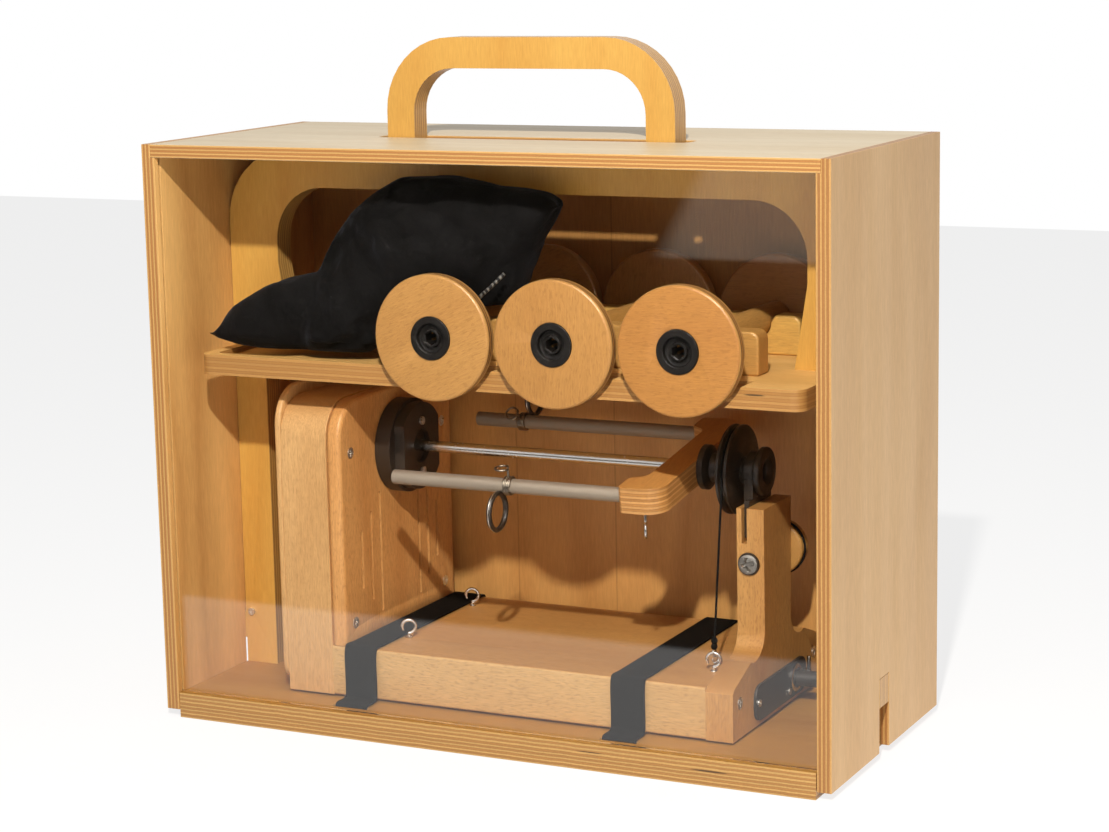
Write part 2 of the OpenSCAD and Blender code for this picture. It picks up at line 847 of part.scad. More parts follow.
module upright() {
    color(pale)
        difference() {
            slab_x(up_l, up_r)
                upright_line();
            box([kerf_x, axis_y - body_d, upright_top - kerf_h], [kerf_x + kerf_w, axis_y + body_d, upright_top + 1]);
            rod_y(axis_y - upright_d / 2 - 1, axis_y + upright_d / 2 + 1, clamp_d + 0.1, up_mid - 1, clamp_z);
            for (y = [upright_screw_y, body_rear - (upright_screw_y - body_y)]) {
                rod_x(up_l - 1, up_r + 1, 4, y, upright_screw_z);
                rod_x(up_r - 1.4, up_r + 1, 8.4, y, upright_screw_z);
            }
            rod_x(up_l - 1, up_r + 1, 9, knob_y, knob_z);
            rod_x(up_l - 1, up_r + 1, 9, lever_y, lever_z);
        }
}

module upright_screws() {
    color(steel)
        for (y = [upright_screw_y, body_rear - (upright_screw_y - body_y)])
            translate([up_r - 1.4, y, upright_screw_z])
                rotate([0, 90, 0])
                    screw(8.2, 1.6, 4, upright_t + 18);
}

module bearing_block() {
    color(black)
        difference() {
            union() {
                box([kerf_x + 0.1, axis_y - 20, upright_top - kerf_h + 3],
                    [kerf_x + kerf_w - 0.1, axis_y + 20, upright_top + 4]);
                box([block_x0, axis_y - 13, upright_top + 0.02], [block_x1, axis_y + 13, axis_z - 4]);
                rod_x(block_x0, block_x1, 26, axis_y, axis_z);
            }
            rod_x(block_x0 - 1, block_x1 + 1, neck_d + run_gap, axis_y, axis_z);
        }
}

module clamp_screw() {
    y0 = axis_y - upright_d / 2;
    color(steel)
        translate([up_mid - 1, y0 - 0.02, clamp_z])
            rotate([90, 0, 0])
                screw(clamp_head, 3.2, clamp_d, upright_d + 9);
}

knob_y0 = axis_y + upright_d / 2 + 0.6;
knob_l = tension_l;
knob_d = tension_d;

module tension_knob() {
    color(beech)
        translate([up_mid - 1, knob_y0, clamp_z])
            rotate([-90, 0, 0])
                rotate_extrude()
                    polygon(concat(
                        [[clamp_d / 2 + 0.05, 0], [knob_d / 2 - 2, 0]],
                        arc([knob_d / 2 - 2, 2], 2, -90, 0, 4),
                        arc([knob_d / 2 + 1, 5], 2.4, 235, 125, 6),
                        arc([knob_d / 2 - 3, knob_l - 3], 3, 0, 90, 5),
                        [[clamp_d / 2 + 0.05, knob_l]]));
}

// Brake cord: up from the eye, over the pulley and down to the knob
cord_r = groove_d / 2 + 1.1;
cord_path = concat(
    [[eye_xy[0], eye_xy[1] + 1, deck_z + 15], [eye_xy[0], eye_xy[1] + 2, deck_z + 22]],
    [for (a = [188 : -12 : -4]) [cord_x, axis_y + cord_r * cos(a), axis_z + cord_r * sin(a)]],
    [[cord_x + 4, axis_y + upright_d / 2 + 4, axis_z - 28],
     [up_mid - 14, knob_y0 + 5, clamp_z + knob_d / 2 - 1]],
    [for (a = [112 : -24 : 16]) [up_mid - 1 + (knob_d / 2 + 0.3) * cos(a), knob_y0 + 5,
        clamp_z + (knob_d / 2 + 0.3) * sin(a)]]);

function unit(v) = v / norm(v);
function path_dir(p, i) = unit(p[min(i + 1, len(p) - 1)] - p[max(i - 1, 0)]);

// Round cord of diameter d along points p
module cord(p, d, n = 8) {
    rings = [for (i = [0 : len(p) - 1])
        let (t = path_dir(p, i),
             s = unit(cross(t, abs(t[0]) > 0.8 ? [0, 1, 0] : [1, 0, 0])),
             q = cross(s, t))
        [for (k = [0 : n - 1]) p[i] + d / 2 * (cos(360 * k / n) * s + sin(360 * k / n) * q)]];
    m = len(p);
    polyhedron(
        points = [for (r = rings, v = r) v],
        faces = concat(
            [[for (k = [0 : n - 1]) k]],
            [for (i = [0 : m - 2], k = [0 : n - 1])
                [i * n + k, (i + 1) * n + k, (i + 1) * n + (k + 1) % n, i * n + (k + 1) % n]],
            [[for (k = [n - 1 : -1 : 0]) (m - 1) * n + k]]));
}

module brake_cord() {
    color(black)
        cord(cord_path, 1.2);
}

module control_panel() {
    color(black)
        difference() {
            slab_x(up_r + 0.02, up_r + panel_t)
                polygon(round_rect(panel_y0, panel_z0, panel_y1, panel_z1, 9));
            rod_x(up_r - 1, up_r + panel_t + 1, 7.2, knob_y, knob_z);
            rod_x(up_r - 1, up_r + panel_t + 1, 7.2, lever_y, lever_z);
            for (p = panel_screw_yz)
                rod_x(up_r - 1, up_r + panel_t + 1, 2.4, p[0], p[1]);
        }
}

module panel_screws() {
    color(steel)
        for (p = panel_screw_yz)
            translate([up_r + panel_t, p[0], p[1]])
                rotate([0, 90, 0])
                    screw(5, 1.2, 2.4, panel_t - 0.1);
}

module speed_knob() {
    x = up_r + panel_t;
    color(black)
        difference() {
            union() {
                rod_x(x + 0.3, x + 2.3, speed_d + 2, knob_y, knob_z);
                rod_x(x + 2.3 - e, x + speed_l, speed_d, knob_y, knob_z);
                rod_x(up_r - 9, x + 1, 6, knob_y, knob_z);
            }
            box([x + speed_l - 7, knob_y - 0.6, knob_z + speed_d / 2 - 0.8],
                [x + speed_l + 1, knob_y + 0.6, knob_z + speed_d / 2 + 0.5]);
        }
}

module direction_lever() {
    x = up_r + panel_t;
    color(steel)
        union() {
            rod_x(up_r - 8, x + 5, 6, lever_y, lever_z);
            rod_x(x + 0.2, x + 2.2, 9, lever_y, lever_z);
            translate([x + 4, lever_y, lever_z])
                cylinder(h = 13, d = 2.6);
        }
}

module circuit_board() {
    x0 = pocket[0] + 1.5;
    y0 = pocket[1] + 2;
    z0 = pocket[2];
    color([0.1, 0.35, 0.2])
        union() {
            box([x0, y0, z0 + 3], [x0 + 32, y0 + 68, z0 + 4.6]);
            for (dx = [3, 29], dy = [3, 65])
                translate([x0 + dx, y0 + dy, z0 + 0.02])
                    cylinder(h = 3, d = 5);
            box([x0 + 6, y0 + 12, z0 + 4.6], [x0 + 18, y0 + 30, z0 + 8]);
            box([x0 + 20, y0 + 40, z0 + 4.6], [x0 + 29, y0 + 56, z0 + 12]);
        }
}

// ---------------------------------------------------------------- motor housing

screw_yz = [for (y = [body_y + 15, body_rear - 15], z = [deck_z + 13.6, housing_top - 37.4]) [y, z]];

module housing_line(z0, z1, r, foot_r) {
    polygon(concat(
        foot_r > 0 ? arc([body_rear - foot_r, z0 + foot_r], foot_r, -90, 0, 5) : [[body_rear, z0]],
        arc([body_rear - r, z1 - r], r, 0, 90),
        arc([body_y + r, z1 - r], r, 90, 180),
        foot_r > 0 ? arc([body_y + foot_r, z0 + foot_r], foot_r, 180, 270, 5) : [[body_y, z0]]));
}

module housing_block() {
    w = block_wall;
    color(pale)
        difference() {
            union() {
                slab_x(block_left, deck_l - 0.02)
                    difference() {
                        housing_line(block_z, housing_top, housing_r, 0);
                        polygon(round_rect(body_y + w, block_z + w, body_rear - w, housing_top - w,
                            housing_r - w / 2));
                    }
                for (p = screw_yz)
                    rod_x(block_left, deck_l - 0.02, boss_d, p[0], p[1]);
            }
            for (p = screw_yz)
                rod_x(deck_l - 12, deck_l + 1, case_screw, p[0], p[1]);
        }
}

vents = [[28, 68.4, 155.4], [41, 79.4, 143.9], [54.5, 90.4, 132.9]];

module housing_plate() {
    color(pale)
        difference() {
            slab_x(deck_l, plate_r)
                housing_line(deck_z + 0.02, housing_top, housing_r, 0);
            for (v = vents, s = [-1, 1])
                slab_x(deck_l - 1, plate_r + 1)
                    polygon(round_rect(axis_y + s * v[0] - vent_w / 2, v[1], axis_y + s * v[0] + vent_w / 2,
                        v[2], vent_w / 2 - 0.01));
            for (p = screw_yz) {
                rod_x(deck_l - 1, plate_r + 1, case_screw + 0.4, p[0], p[1]);
                rod_x(plate_r - 1.2, plate_r + 1, case_head + 0.2, p[0], p[1]);
            }
            rod_x(deck_l - 1, plate_r + 1, bearing_d, axis_y, axis_z);
        }
}

module housing_cover() {
    color(pale)
        slab_x(cover_left, block_left - 0.02)
            housing_line(block_z + 6, cover_top, housing_r, 12);
}

module housing_screws() {
    color(steel)
        for (p = screw_yz)
            translate([plate_r - 1.2, p[0], p[1]])
                rotate([0, 90, 0])
                    screw(case_head, 1.3, case_screw, plate_t + 6);
}

module bearing_carrier() {
    x0 = deck_l - carrier_t;
    color(steel)
        difference() {
            union() {
                rod_x(x0, deck_l - 0.02, carrier_d, axis_y, axis_z);
                rod_x(deck_l - 4, deck_l - 0.02, carrier_d + 16, axis_y, axis_z);
            }
            rod_x(x0 + 1.5, deck_l + 1, bearing_d, axis_y, axis_z);
            rod_x(x0 - 1, deck_l + 1, shaft_d + 6, axis_y, axis_z);
        }
}

module bearing(x) {
    difference() {
        rod_x(x, x + bearing_t, bearing_d - 0.02, axis_y, axis_z);
        rod_x(x - 1, x + bearing_t + 1, 10 + run_gap, axis_y, axis_z);
    }
}

module hub_bearings() {
    color(steel) {
        bearing(deck_l - carrier_t + 1.6);
        bearing(plate_r - bearing_t - 0.6);
    }
}

module motor_bracket() {
    x1 = deck_l - 0.02;
    color(steel)
        difference() {
            box([x1 - 2, axis_y - 34, motor_z - 26], [x1, axis_y + 34, motor_z + 26]);
            rod_x(x1 - 3, x1 + 1, motor_d - 8, axis_y, motor_z);
        }
}

module motor() {
    x1 = deck_l - 2.04;
    color(steel)
        difference() {
            union() {
                rod_x(x1 - motor_l, x1, motor_d, axis_y, motor_z);
                rod_x(x1 - motor_l - 2, x1 - motor_l + e, 12, axis_y, motor_z);
            }
            rod_x(x1 - motor_l - 3, x1 - 2, 3.1, axis_y, motor_z);
        }
}

module belt_pulley(d, y, z) {
    w = belt_w + 3;
    translate([belt_x, y, z])
        rotate([0, 90, 0])
            rotate_extrude()
                polygon([[0, -w / 2], [d / 2, -w / 2], [d / 2, -belt_w / 2 - 0.5], [d / 2 - 1.6, -belt_w / 2 - 0.3],
                    [d / 2 - 1.6, belt_w / 2 + 0.3], [d / 2, belt_w / 2 + 0.5], [d / 2, w / 2], [0, w / 2]]);
}

module motor_pulley() {
    color(steel)
        union() {
            belt_pulley(small_pulley_d, axis_y, motor_z);
            rod_x(belt_x, deck_l - 6, 3, axis_y, motor_z);
        }
}

module drive_pulley() {
    color(black)
        difference() {
            belt_pulley(big_pulley_d, axis_y, axis_z);
            rod_x(belt_x - 10, belt_x + 10, 10.02, axis_y, axis_z);
        }
}

// Flat belt round both pulleys, with a thin gap to each
module drive_belt() {
    r1 = big_pulley_d / 2 - 1.25;
    r2 = small_pulley_d / 2 - 1.25;
    c = axis_z - motor_z;
    a = asin((r1 - r2) / c);
    color(black)
        slab_x(belt_x - belt_w / 2, belt_x + belt_w / 2)
            difference() {
                polygon([for (p = concat(arc([0, axis_z], r1 + 1, a * -1, 180 + a, 36),
                    arc([0, motor_z], r2 + 1, 180 + a, 360 - a, 24))) [p[0] + axis_y, p[1]]]);
                polygon([for (p = concat(arc([0, axis_z], r1, a * -1, 180 + a, 36),
                    arc([0, motor_z], r2, 180 + a, 360 - a, 24))) [p[0] + axis_y, p[1]]]);
            }
}

module drive_hub() {
    recess = 24;
    color(black)
        difference() {
            union() {
                rod_x(hub_x, hub_x + hub_l * 0.6, hub_d, axis_y, axis_z);
                slab_x(hub_x + hub_l * 0.6 - e, hub_r_x)
                    translate([axis_y, axis_z])
                        intersection() {
                            circle(d = hub_d - 5);
                            square([hub_d * 0.76, hub_d], center = true);
                        }
                rod_x(belt_x - 8, hub_x + 1, 10, axis_y, axis_z);
            }
            rod_x(hub_r_x - 4, hub_r_x + 1, recess, axis_y, axis_z);
            rod_x(hub_x - 4, hub_r_x + 1, shaft_d + run_gap, axis_y, axis_z);
            for (s = [-1, 1])
                rod_x(hub_r_x - 8, hub_r_x + 1, 3, axis_y, axis_z + s * 18);
        }
}

module hub_screws() {
    color(steel)
        for (s = [-1, 1])
            translate([hub_r_x, axis_y, axis_z + s * 18])
                rotate([0, 90, 0])
                    screw(6, 1.6, 3, 7);
}

// ---------------------------------------------------------------- flyer

// Turns children from the level flyer to its rest angle
module flyer_turn() {
    translate([0, axis_y, axis_z])
        rotate([flyer_tilt, 0, 0])
            children();
}

module flyer_yoke() {
    a = arm_r;
    b = tube_r - 10;
    k = 14;
    color(beech)
        flyer_turn()
            difference() {
                translate([0, 0, -yoke_t / 2])
                    linear_extrude(height = yoke_t)
                        polygon(concat(
                            [[yoke_x0, -a + 2], [yoke_x0 + 2, -a]],
                            arc([yoke_x2 - k, -a + k], k, -90, 0),
                            arc([yoke_x2 - k, a - k], k, 0, 90),
                            [[yoke_x0 + 2, a], [yoke_x0, a - 2], [yoke_x0, b + 2]],
                            arc([yoke_x0, b - yoke_reach], yoke_reach, 80, 0, 8),
                            arc([yoke_x0, yoke_reach - b], yoke_reach, 0, -80, 8),
                            [[yoke_x0, -b - 2]]));
                rod_x(yoke_x0 - 1, yoke_x2 + 1, shaft_d, 0, 0);
                for (s = [-1, 1])
                    rod_x(yoke_x0 - 1, yoke_x0 + 13, tube_d, s * tube_r, 0);
                translate([yoke_x0 + 14, -tube_r, -yoke_t / 2 - 1])
                    cylinder(h = 8, d = 2);
            }
}

module flyer_shaft() {
    color(steel)
        rod_x(hub_x, yoke_x2 + 0.5, shaft_d, axis_y, axis_z);
}

module flyer_tube(s) {
    flyer_turn()
        difference() {
            rod_x(tube_x0, yoke_x0 + 12.9, tube_d, s * tube_r, 0);
            rod_x(tube_x0 - 1, yoke_x0 + 14, tube_d - 2 * tube_wall, s * tube_r, 0);
        }
}

module flyer_tube_front() {
    color(steel)
        flyer_tube(-1);
}

module flyer_tube_rear() {
    color(steel)
        flyer_tube(1);
}

// Grooved brake pulley with its boss against the yoke
module brake_pulley() {
    w = pulley_t;
    r = pulley_d / 2;
    g = groove_d / 2;
    s = pulley_x0 - yoke_x2;
    color(black)
        translate([yoke_x2 + 0.02, axis_y, axis_z])
            rotate([0, 90, 0])
                rotate_extrude()
                    polygon([[4.02, 0.5], [4.02, 0], [15.4, 0], [15.4, 4], [12.5, 6], [10, 7], [10, s],
                        [r - 2, s], [r, s + 1], [r, s + w * 0.28], [g, s + w * 0.44], [g, s + w * 0.56],
                        [r, s + w * 0.72], [r, s + w - 1], [r - 2, s + w], [neck_d / 2, s + w],
                        [neck_d / 2, s + w + 2], [orifice_bore / 2, s + w + 2], [orifice_bore / 2, 8], [4.02, 6]]);
}

module orifice() {
    x = pulley_x1 + 2.05;
    l = ring_x0 - x;
    color(black)
        translate([x, axis_y, axis_z])
            rotate([0, 90, 0])
                rotate_extrude()
                    polygon([[orifice_bore / 2, 0], [neck_d / 2, 0], [neck_d / 2, l], [orifice_d / 2 - 1, l],
                        [orifice_d / 2, l + 1], [orifice_d / 2, l + ring_l - 1], [orifice_d / 2 - 1, l + ring_l],
                        [orifice_bore / 2 + 3, l + ring_l], [orifice_bore / 2, l + ring_l - 3]]);
}

module yoke_hook() {
    color(steel)
        flyer_turn()
            translate([yoke_x0 + 14, -tube_r, -yoke_t / 2]) {
                translate([0, 0, -4])
                    cylinder(h = 10, d = 2, $fn = 24);
                translate([0, 0, -8])
                    rotate([0, 90, 0])
                        rotate_extrude()
                            translate([4, 0])
                                circle(d = 1.8, $fn = 20);
            }
}

// Sprung wire clip on a tube with a round ring and a finger loop; s = -1 front, 1 rear
module sliding_hook(x, s) {
    clip_d = tube_d + 2 * wire_d;
    far = norm([eye_out, eye_side]);
    translate([0, s * tube_r, 0])
        difference() {
            union() {
                rod_x(x, x + 3 * wire_d, clip_d, 0, 0);
                rotate([s > 0 ? atan2(eye_side, eye_out) : 180 + atan2(eye_side, eye_out), 0, 0])
                    hook_ring(x + 3 * wire_d / 2, s, far);
                rotate([s > 0 ? 135 : 90, 0, 0])
                    finger_loop(x + 3 * wire_d / 2, clip_d / 2);
            }
            rod_x(x - eye_lean - 2, x + 3 * wire_d + eye_lean + 2, tube_d + run_gap, 0, 0);
        }
}

// Round ring standing out along +Y on a slanting wire
module hook_ring(x, s, far) {
    translate([x + s * eye_lean, far, 0])
        rotate([0, 90, 0])
            rotate_extrude()
                translate([(eye_d + eye_hole) / 4, 0])
                    circle(d = (eye_d - eye_hole) / 2, $fn = 32);
    translate([x, tube_d / 2 + wire_d / 2, 0])
        rotate([0, 0, s * -atan2(eye_lean, far - eye_d / 2 + 1 - tube_d / 2)])
            rotate([-90, 0, 0])
                cylinder(h = norm([eye_lean, far - eye_d / 2 + 1 - tube_d / 2]), d = wire_d, $fn = 20);
}

// Small wire loop lying across the end of a short wire along +Y
module finger_loop(x, r) {
    translate([x, r - 1, 0])
        rotate([-90, 0, 0])
            cylinder(h = 6, d = wire_d, $fn = 20);
    translate([x - loop_r, r + 5, 0])
        rotate([-90, 0, 0])
            rotate_extrude()
                translate([loop_r, 0])
                    circle(d = wire_d, $fn = 20);
}

loop_r = 4.5;
eye_lean = 5.7;
hook_front_x = (tube_x0 + yoke_x0) / 2 - 1;
hook_rear_x = (tube_x0 + yoke_x0) / 2 - 53;

module hook_front() {
    color(black)
        flyer_turn()
            sliding_hook(hook_front_x, -1);
}

module hook_rear() {
    color(black)
        flyer_turn()
            sliding_hook(hook_rear_x, 1);
}

base_board();
carry_frame();
frame_screws();
shelf();
rack_front();
rack_rear();
strap_left();
strap_right();
storage_bag();
hood_left();
hood_right();
hood_top();
hood_back();
hood_window();
bobbin1_flanges();
bobbin1_core();
bobbin1_bushings();
bobbin2_flanges();
bobbin2_core();
bobbin2_bushings();
bobbin3_flanges();
bobbin3_core();
bobbin3_bushings();
spinner_base();
spinner_feet();
base_hooks();
brake_eye();
upright();
upright_screws();
bearing_block();
clamp_screw();
tension_knob();
brake_cord();
control_panel();
panel_screws();
speed_knob();
direction_lever();
circuit_board();
housing_block();
housing_plate();
housing_cover();
housing_screws();
bearing_carrier();
hub_bearings();
motor();
motor_bracket();
motor_pulley();
drive_belt();
drive_pulley();
drive_hub();
hub_screws();
flyer_yoke();
flyer_shaft();
flyer_tube_front();
flyer_tube_rear();
brake_pulley();
orifice();
yoke_hook();
hook_front();
hook_rear();
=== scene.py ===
# %% [markdown]
# # Electric yarn spinner in its carrying case
# The real object is a plywood case with a clear front. Inside, a small spinner is strapped to the case's
# base, and three spare bobbins and a bag lie on a shelf above it. The CAD frame gives every place and size;
# this lesson gives it wood, metal, webbing and cloth. We load the frame first, because all the pieces ride
# on its bodies.
# %% Load the frame
import json
from math import pi, radians, sin, cos
import bmesh
import bpy
import numpy as np
from mathutils import Matrix, Vector


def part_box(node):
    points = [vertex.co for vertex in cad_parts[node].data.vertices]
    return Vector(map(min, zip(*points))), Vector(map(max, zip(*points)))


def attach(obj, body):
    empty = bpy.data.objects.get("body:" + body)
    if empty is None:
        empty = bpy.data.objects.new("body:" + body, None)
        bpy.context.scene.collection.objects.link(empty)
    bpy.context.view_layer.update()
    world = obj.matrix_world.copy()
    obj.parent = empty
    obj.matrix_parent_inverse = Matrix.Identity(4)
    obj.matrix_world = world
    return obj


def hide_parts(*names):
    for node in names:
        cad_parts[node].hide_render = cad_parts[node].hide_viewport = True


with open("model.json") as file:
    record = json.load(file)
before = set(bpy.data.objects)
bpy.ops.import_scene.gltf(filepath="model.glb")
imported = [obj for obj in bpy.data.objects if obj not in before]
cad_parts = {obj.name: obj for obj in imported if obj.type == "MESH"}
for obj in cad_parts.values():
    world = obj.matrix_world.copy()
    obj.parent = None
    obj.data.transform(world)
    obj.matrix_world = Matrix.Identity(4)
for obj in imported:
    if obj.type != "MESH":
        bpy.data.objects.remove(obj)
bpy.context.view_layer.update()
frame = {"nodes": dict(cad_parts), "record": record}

NODES = frame["nodes"]
BODY_OF = {n: b for b, ns in frame["record"]["behaviour"]["bodies"].items() for n in ns}

# %% [markdown]
# The camera stands to the right in front of the case, a little above its top, about 1.8 m away. Its place
# and lens were worked out from the case's corners, so it looks as the photograph does. A long lens keeps
# the case's verticals nearly parallel.
# %% Camera
CAMERA_AT = (0.809976, -1.62926, 0.54687)
FOCAL_PX, PHOTO_WIDTH_PX = 2676.65, 1109
SENSOR_MM = 36.0
cam_data = bpy.data.cameras.new("camera")
cam = bpy.data.objects.new("camera", cam_data)
bpy.context.scene.collection.objects.link(cam)
look = Vector((-0.43406096, 0.88267259, -0.18022258))
up = Vector((-0.06148173, 0.17056038, 0.98342725))
right = look.cross(up)
cam.matrix_world = Matrix.Translation(CAMERA_AT) @ Matrix((right, up, -look)).transposed().to_4x4()
cam_data.sensor_width = SENSOR_MM
cam_data.lens = FOCAL_PX / PHOTO_WIDTH_PX * SENSOR_MM
cam_data.clip_start = 0.05
bpy.context.scene.camera = cam
print("lens", round(cam_data.lens, 2))

# %% [markdown]
# Two small helpers carry the whole lesson. `point_grid` turns an array of points into a quad mesh, which is
# how we build cords, straps and cloth. `eased` takes a CAD node, merges its loose triangles and breaks its
# sharp edges with a narrow bevel. Real wood never has a perfectly sharp edge, and a thin highlight runs
# along it.
# %% Mesh helpers
def place(obj, material, body, node=None, sharp=None):
    """Links obj, gives it its material, and lets it ride on a body in place of a CAD node.

    Shading is smooth, but for edges where the faces meet at more than `sharp` degrees.
    """
    if obj.name not in bpy.context.scene.collection.objects:
        bpy.context.scene.collection.objects.link(obj)
    obj.data.materials.clear()
    obj.data.materials.append(material)
    obj.data.polygons.foreach_set("use_smooth", np.ones(len(obj.data.polygons), bool))
    if sharp:
        obj.data.set_sharp_from_angle(angle=radians(sharp))
    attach(obj, body)
    if node:
        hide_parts(*([node] if isinstance(node, str) else node))
    return obj


def grid_faces(nu, nv, wrap_u, wrap_v):
    """Quads of an nu by nv grid: corner (i, j) joins (i+1, j), (i+1, j+1) and (i, j+1)."""
    rows, columns = np.arange(nu if wrap_u else nu - 1), np.arange(nv if wrap_v else nv - 1)
    i, j = np.meshgrid(rows, columns, indexing="ij")
    a, b = (i + 1) % nu, (j + 1) % nv
    return np.stack([i * nv + j, a * nv + j, a * nv + b, i * nv + b], -1).reshape(-1, 4)


def point_grid(name, P, wrap_u=False, wrap_v=False, cap=False, uv=None):
    """Mesh from an array P[u, v] of points; cap closes the two open ends of a tube."""
    nu, nv = P.shape[:2]
    faces = grid_faces(nu, nv, wrap_u, wrap_v).tolist()
    if cap:
        faces += [list(range(nv))[::-1], [(nu - 1) * nv + k for k in range(nv)]]
    me = bpy.data.meshes.new(name)
    me.from_pydata(P.reshape(-1, 3).tolist(), [], faces)
    if uv is not None:
        layer = me.uv_layers.new(name="UVMap")
        idx = np.zeros(len(me.loops), int)
        me.loops.foreach_get("vertex_index", idx)
        layer.data.foreach_set("uv", uv.reshape(-1, 2)[idx].astype(np.float32).ravel())
    bm = bmesh.new()
    bm.from_mesh(me)
    bmesh.ops.recalc_face_normals(bm, faces=bm.faces)
    bm.to_mesh(me)
    bm.free()
    return bpy.data.objects.new(name, me)


def joined(name, parts):
    """One object from several meshes made above."""
    bm = bmesh.new()
    for p in parts:
        bm.from_mesh(p.data)
        bpy.data.objects.remove(p)
    me = bpy.data.meshes.new(name)
    bm.to_mesh(me)
    bm.free()
    return bpy.data.objects.new(name, me)


def wire(name, path, radius, ref, n=12, closed=False):
    """Round wire: circles of the given radius stand across the path; ref is never along it."""
    p = np.asarray(path, float)
    d = np.roll(p, -1, 0) - np.roll(p, 1, 0) if closed else np.gradient(p, axis=0)
    t = d / np.linalg.norm(d, axis=1, keepdims=True)
    ref = np.asarray(ref, float)
    a = ref - (t @ ref)[:, None] * t
    a /= np.linalg.norm(a, axis=1, keepdims=True)
    b = np.cross(t, a)
    k = np.linspace(0, 2 * pi, n, endpoint=False)
    r = np.broadcast_to(np.asarray(radius, float), (len(p),))[:, None, None]
    P = p[:, None] + r * (np.cos(k)[None, :, None] * a[:, None] + np.sin(k)[None, :, None] * b[:, None])
    return point_grid(name, P, wrap_u=closed, wrap_v=True, cap=not closed)


def turned(name, profile, centre, axis, n=72):
    """Turned piece: each (distance along the axis, radius) of the closed profile makes one circle."""
    q = np.asarray(profile, float)
    k = np.linspace(0, 2 * pi, n, endpoint=False)
    ax = Vector(axis).normalized()
    u = np.array(ax.orthogonal().normalized())
    ax = np.array(ax)
    v = np.cross(ax, u)
    ring = np.cos(k)[:, None] * u + np.sin(k)[:, None] * v
    P = np.asarray(centre) + q[:, None, :1] * ax + q[:, None, 1:] * ring[None]
    return point_grid(name, P, wrap_u=True, wrap_v=True)


def smooth_line(points, n):
    """Catmull-Rom curve through the points: each span is a cubic blend of its four neighbours."""
    p = np.asarray(points, float)
    m = len(p)
    s = np.linspace(0, m - 1, n)
    i = np.floor(s).astype(int)
    f = (s - i)[:, None]
    a, b, c, d = (p[np.clip(i + step, 0, m - 1)] for step in (-1, 0, 1, 2))
    bend, twist = 2 * a - 5 * b + 4 * c - d, 3 * b - a - 3 * c + d
    return 0.5 * (2 * b + (c - a) * f + bend * f ** 2 + twist * f ** 3)


def eased(node, material, width=0.0006, steps=2, angle=35, wide=None):
    """Merged copy of a CAD node with its edges broken; wide is (width, steps, test of an edge's middle).

    An edge is sharp where its faces meet at more than `angle`. Edges that pass the test of `wide` get the
    wide bevel first, and then every sharp edge that is left gets the narrow one.
    """
    bm = bmesh.new()
    bm.from_mesh(NODES[node].data)
    bmesh.ops.remove_doubles(bm, verts=bm.verts, dist=1e-6)
    bmesh.ops.dissolve_limit(bm, angle_limit=radians(0.8), verts=bm.verts, edges=bm.edges)
    if wide:
        weight = bm.edges.layers.float.new("bevel_weight_edge")
        for edge in bm.edges:
            sharp = edge.is_manifold and edge.calc_face_angle(0.0) > radians(angle)
            middle = (edge.verts[0].co + edge.verts[1].co) / 2
            edge[weight] = 1.0 if sharp and wide[2](middle) else 0.0
    me = bpy.data.meshes.new(node + "_eased")
    bm.to_mesh(me)
    bm.free()
    obj = bpy.data.objects.new(node + "_eased", me)
    place(obj, material, BODY_OF[node], node, sharp=angle)
    for w, n, how in ([(wide[0], wide[1], "WEIGHT")] if wide else []) + [(width, steps, "ANGLE")]:
        bevel = obj.modifiers.new("edge", "BEVEL")
        bevel.width, bevel.segments, bevel.limit_method = w, n, how
        bevel.angle_limit = radians(angle)
        bevel.use_clamp_overlap = True
        bevel.harden_normals = True
    return obj


print("helpers ready")

# %% [markdown]
# Materials are built from a few shader nodes. `add` makes one node and plugs its inputs, so a material
# reads like a recipe. Colours are given in everyday 0 to 255 numbers and turned into linear light.
# %% Node helpers
def srgb(r, g, b):
    """Linear colour of an everyday 0 to 255 colour."""
    c = np.array([r, g, b]) / 255.0
    c = np.where(c <= 0.04045, c / 12.92, ((c + 0.055) / 1.055) ** 2.4)
    return (float(c[0]), float(c[1]), float(c[2]), 1.0)


def finish(name, **sockets):
    """New Principled material; the keyword names are its sockets with _ for spaces."""
    m = bpy.data.materials.new(name)
    m.use_nodes = True
    b = m.node_tree.nodes["Principled BSDF"]
    for key, value in sockets.items():
        b.inputs[key.replace("_", " ")].default_value = value
    return m, m.node_tree, b


def add(nt, kind, inputs=(), out=0, **props):
    """One node of that kind; inputs maps socket to value or to another node's output."""
    n = nt.nodes.new("ShaderNode" + kind)
    for key, value in props.items():
        setattr(n, key, value)
    for key, value in dict(inputs).items():
        if isinstance(value, bpy.types.NodeSocket):
            nt.links.new(value, n.inputs[key])
        else:
            n.inputs[key].default_value = value
    return n.outputs[out]


def sums(nt, op, a, b=0.0, c=0.0):
    """Math node; a, b and c are numbers or outputs."""
    return add(nt, "Math", {0: a, 1: b, 2: c}, operation=op)


def remap(nt, value, low, high, at_low, at_high):
    """Straight ramp of a value: at_low at low, at_high at high, and level beyond them."""
    return add(nt, "MapRange", {0: value, 1: low, 2: high, 3: at_low, 4: at_high})


def blend_colour(nt, fac, a, b, how="MIX"):
    """Mix of two colours."""
    return add(nt, "Mix", {0: fac, 6: a, 7: b}, out=2, data_type="RGBA", blend_type=how)


def steps_ramp(nt, fac, stops, how="LINEAR"):
    """Colour ramp with the given (place, colour) stops."""
    out = add(nt, "ValToRGB", {0: fac})
    ramp = out.node.color_ramp
    ramp.interpolation = how
    while len(ramp.elements) < len(stops):
        ramp.elements.new(0.5)
    for e, (p, c) in zip(ramp.elements, stops):
        e.position, e.color = p, c
    return out


def grey(v):
    """Linear grey of that value."""
    return (v, v, v, 1.0)


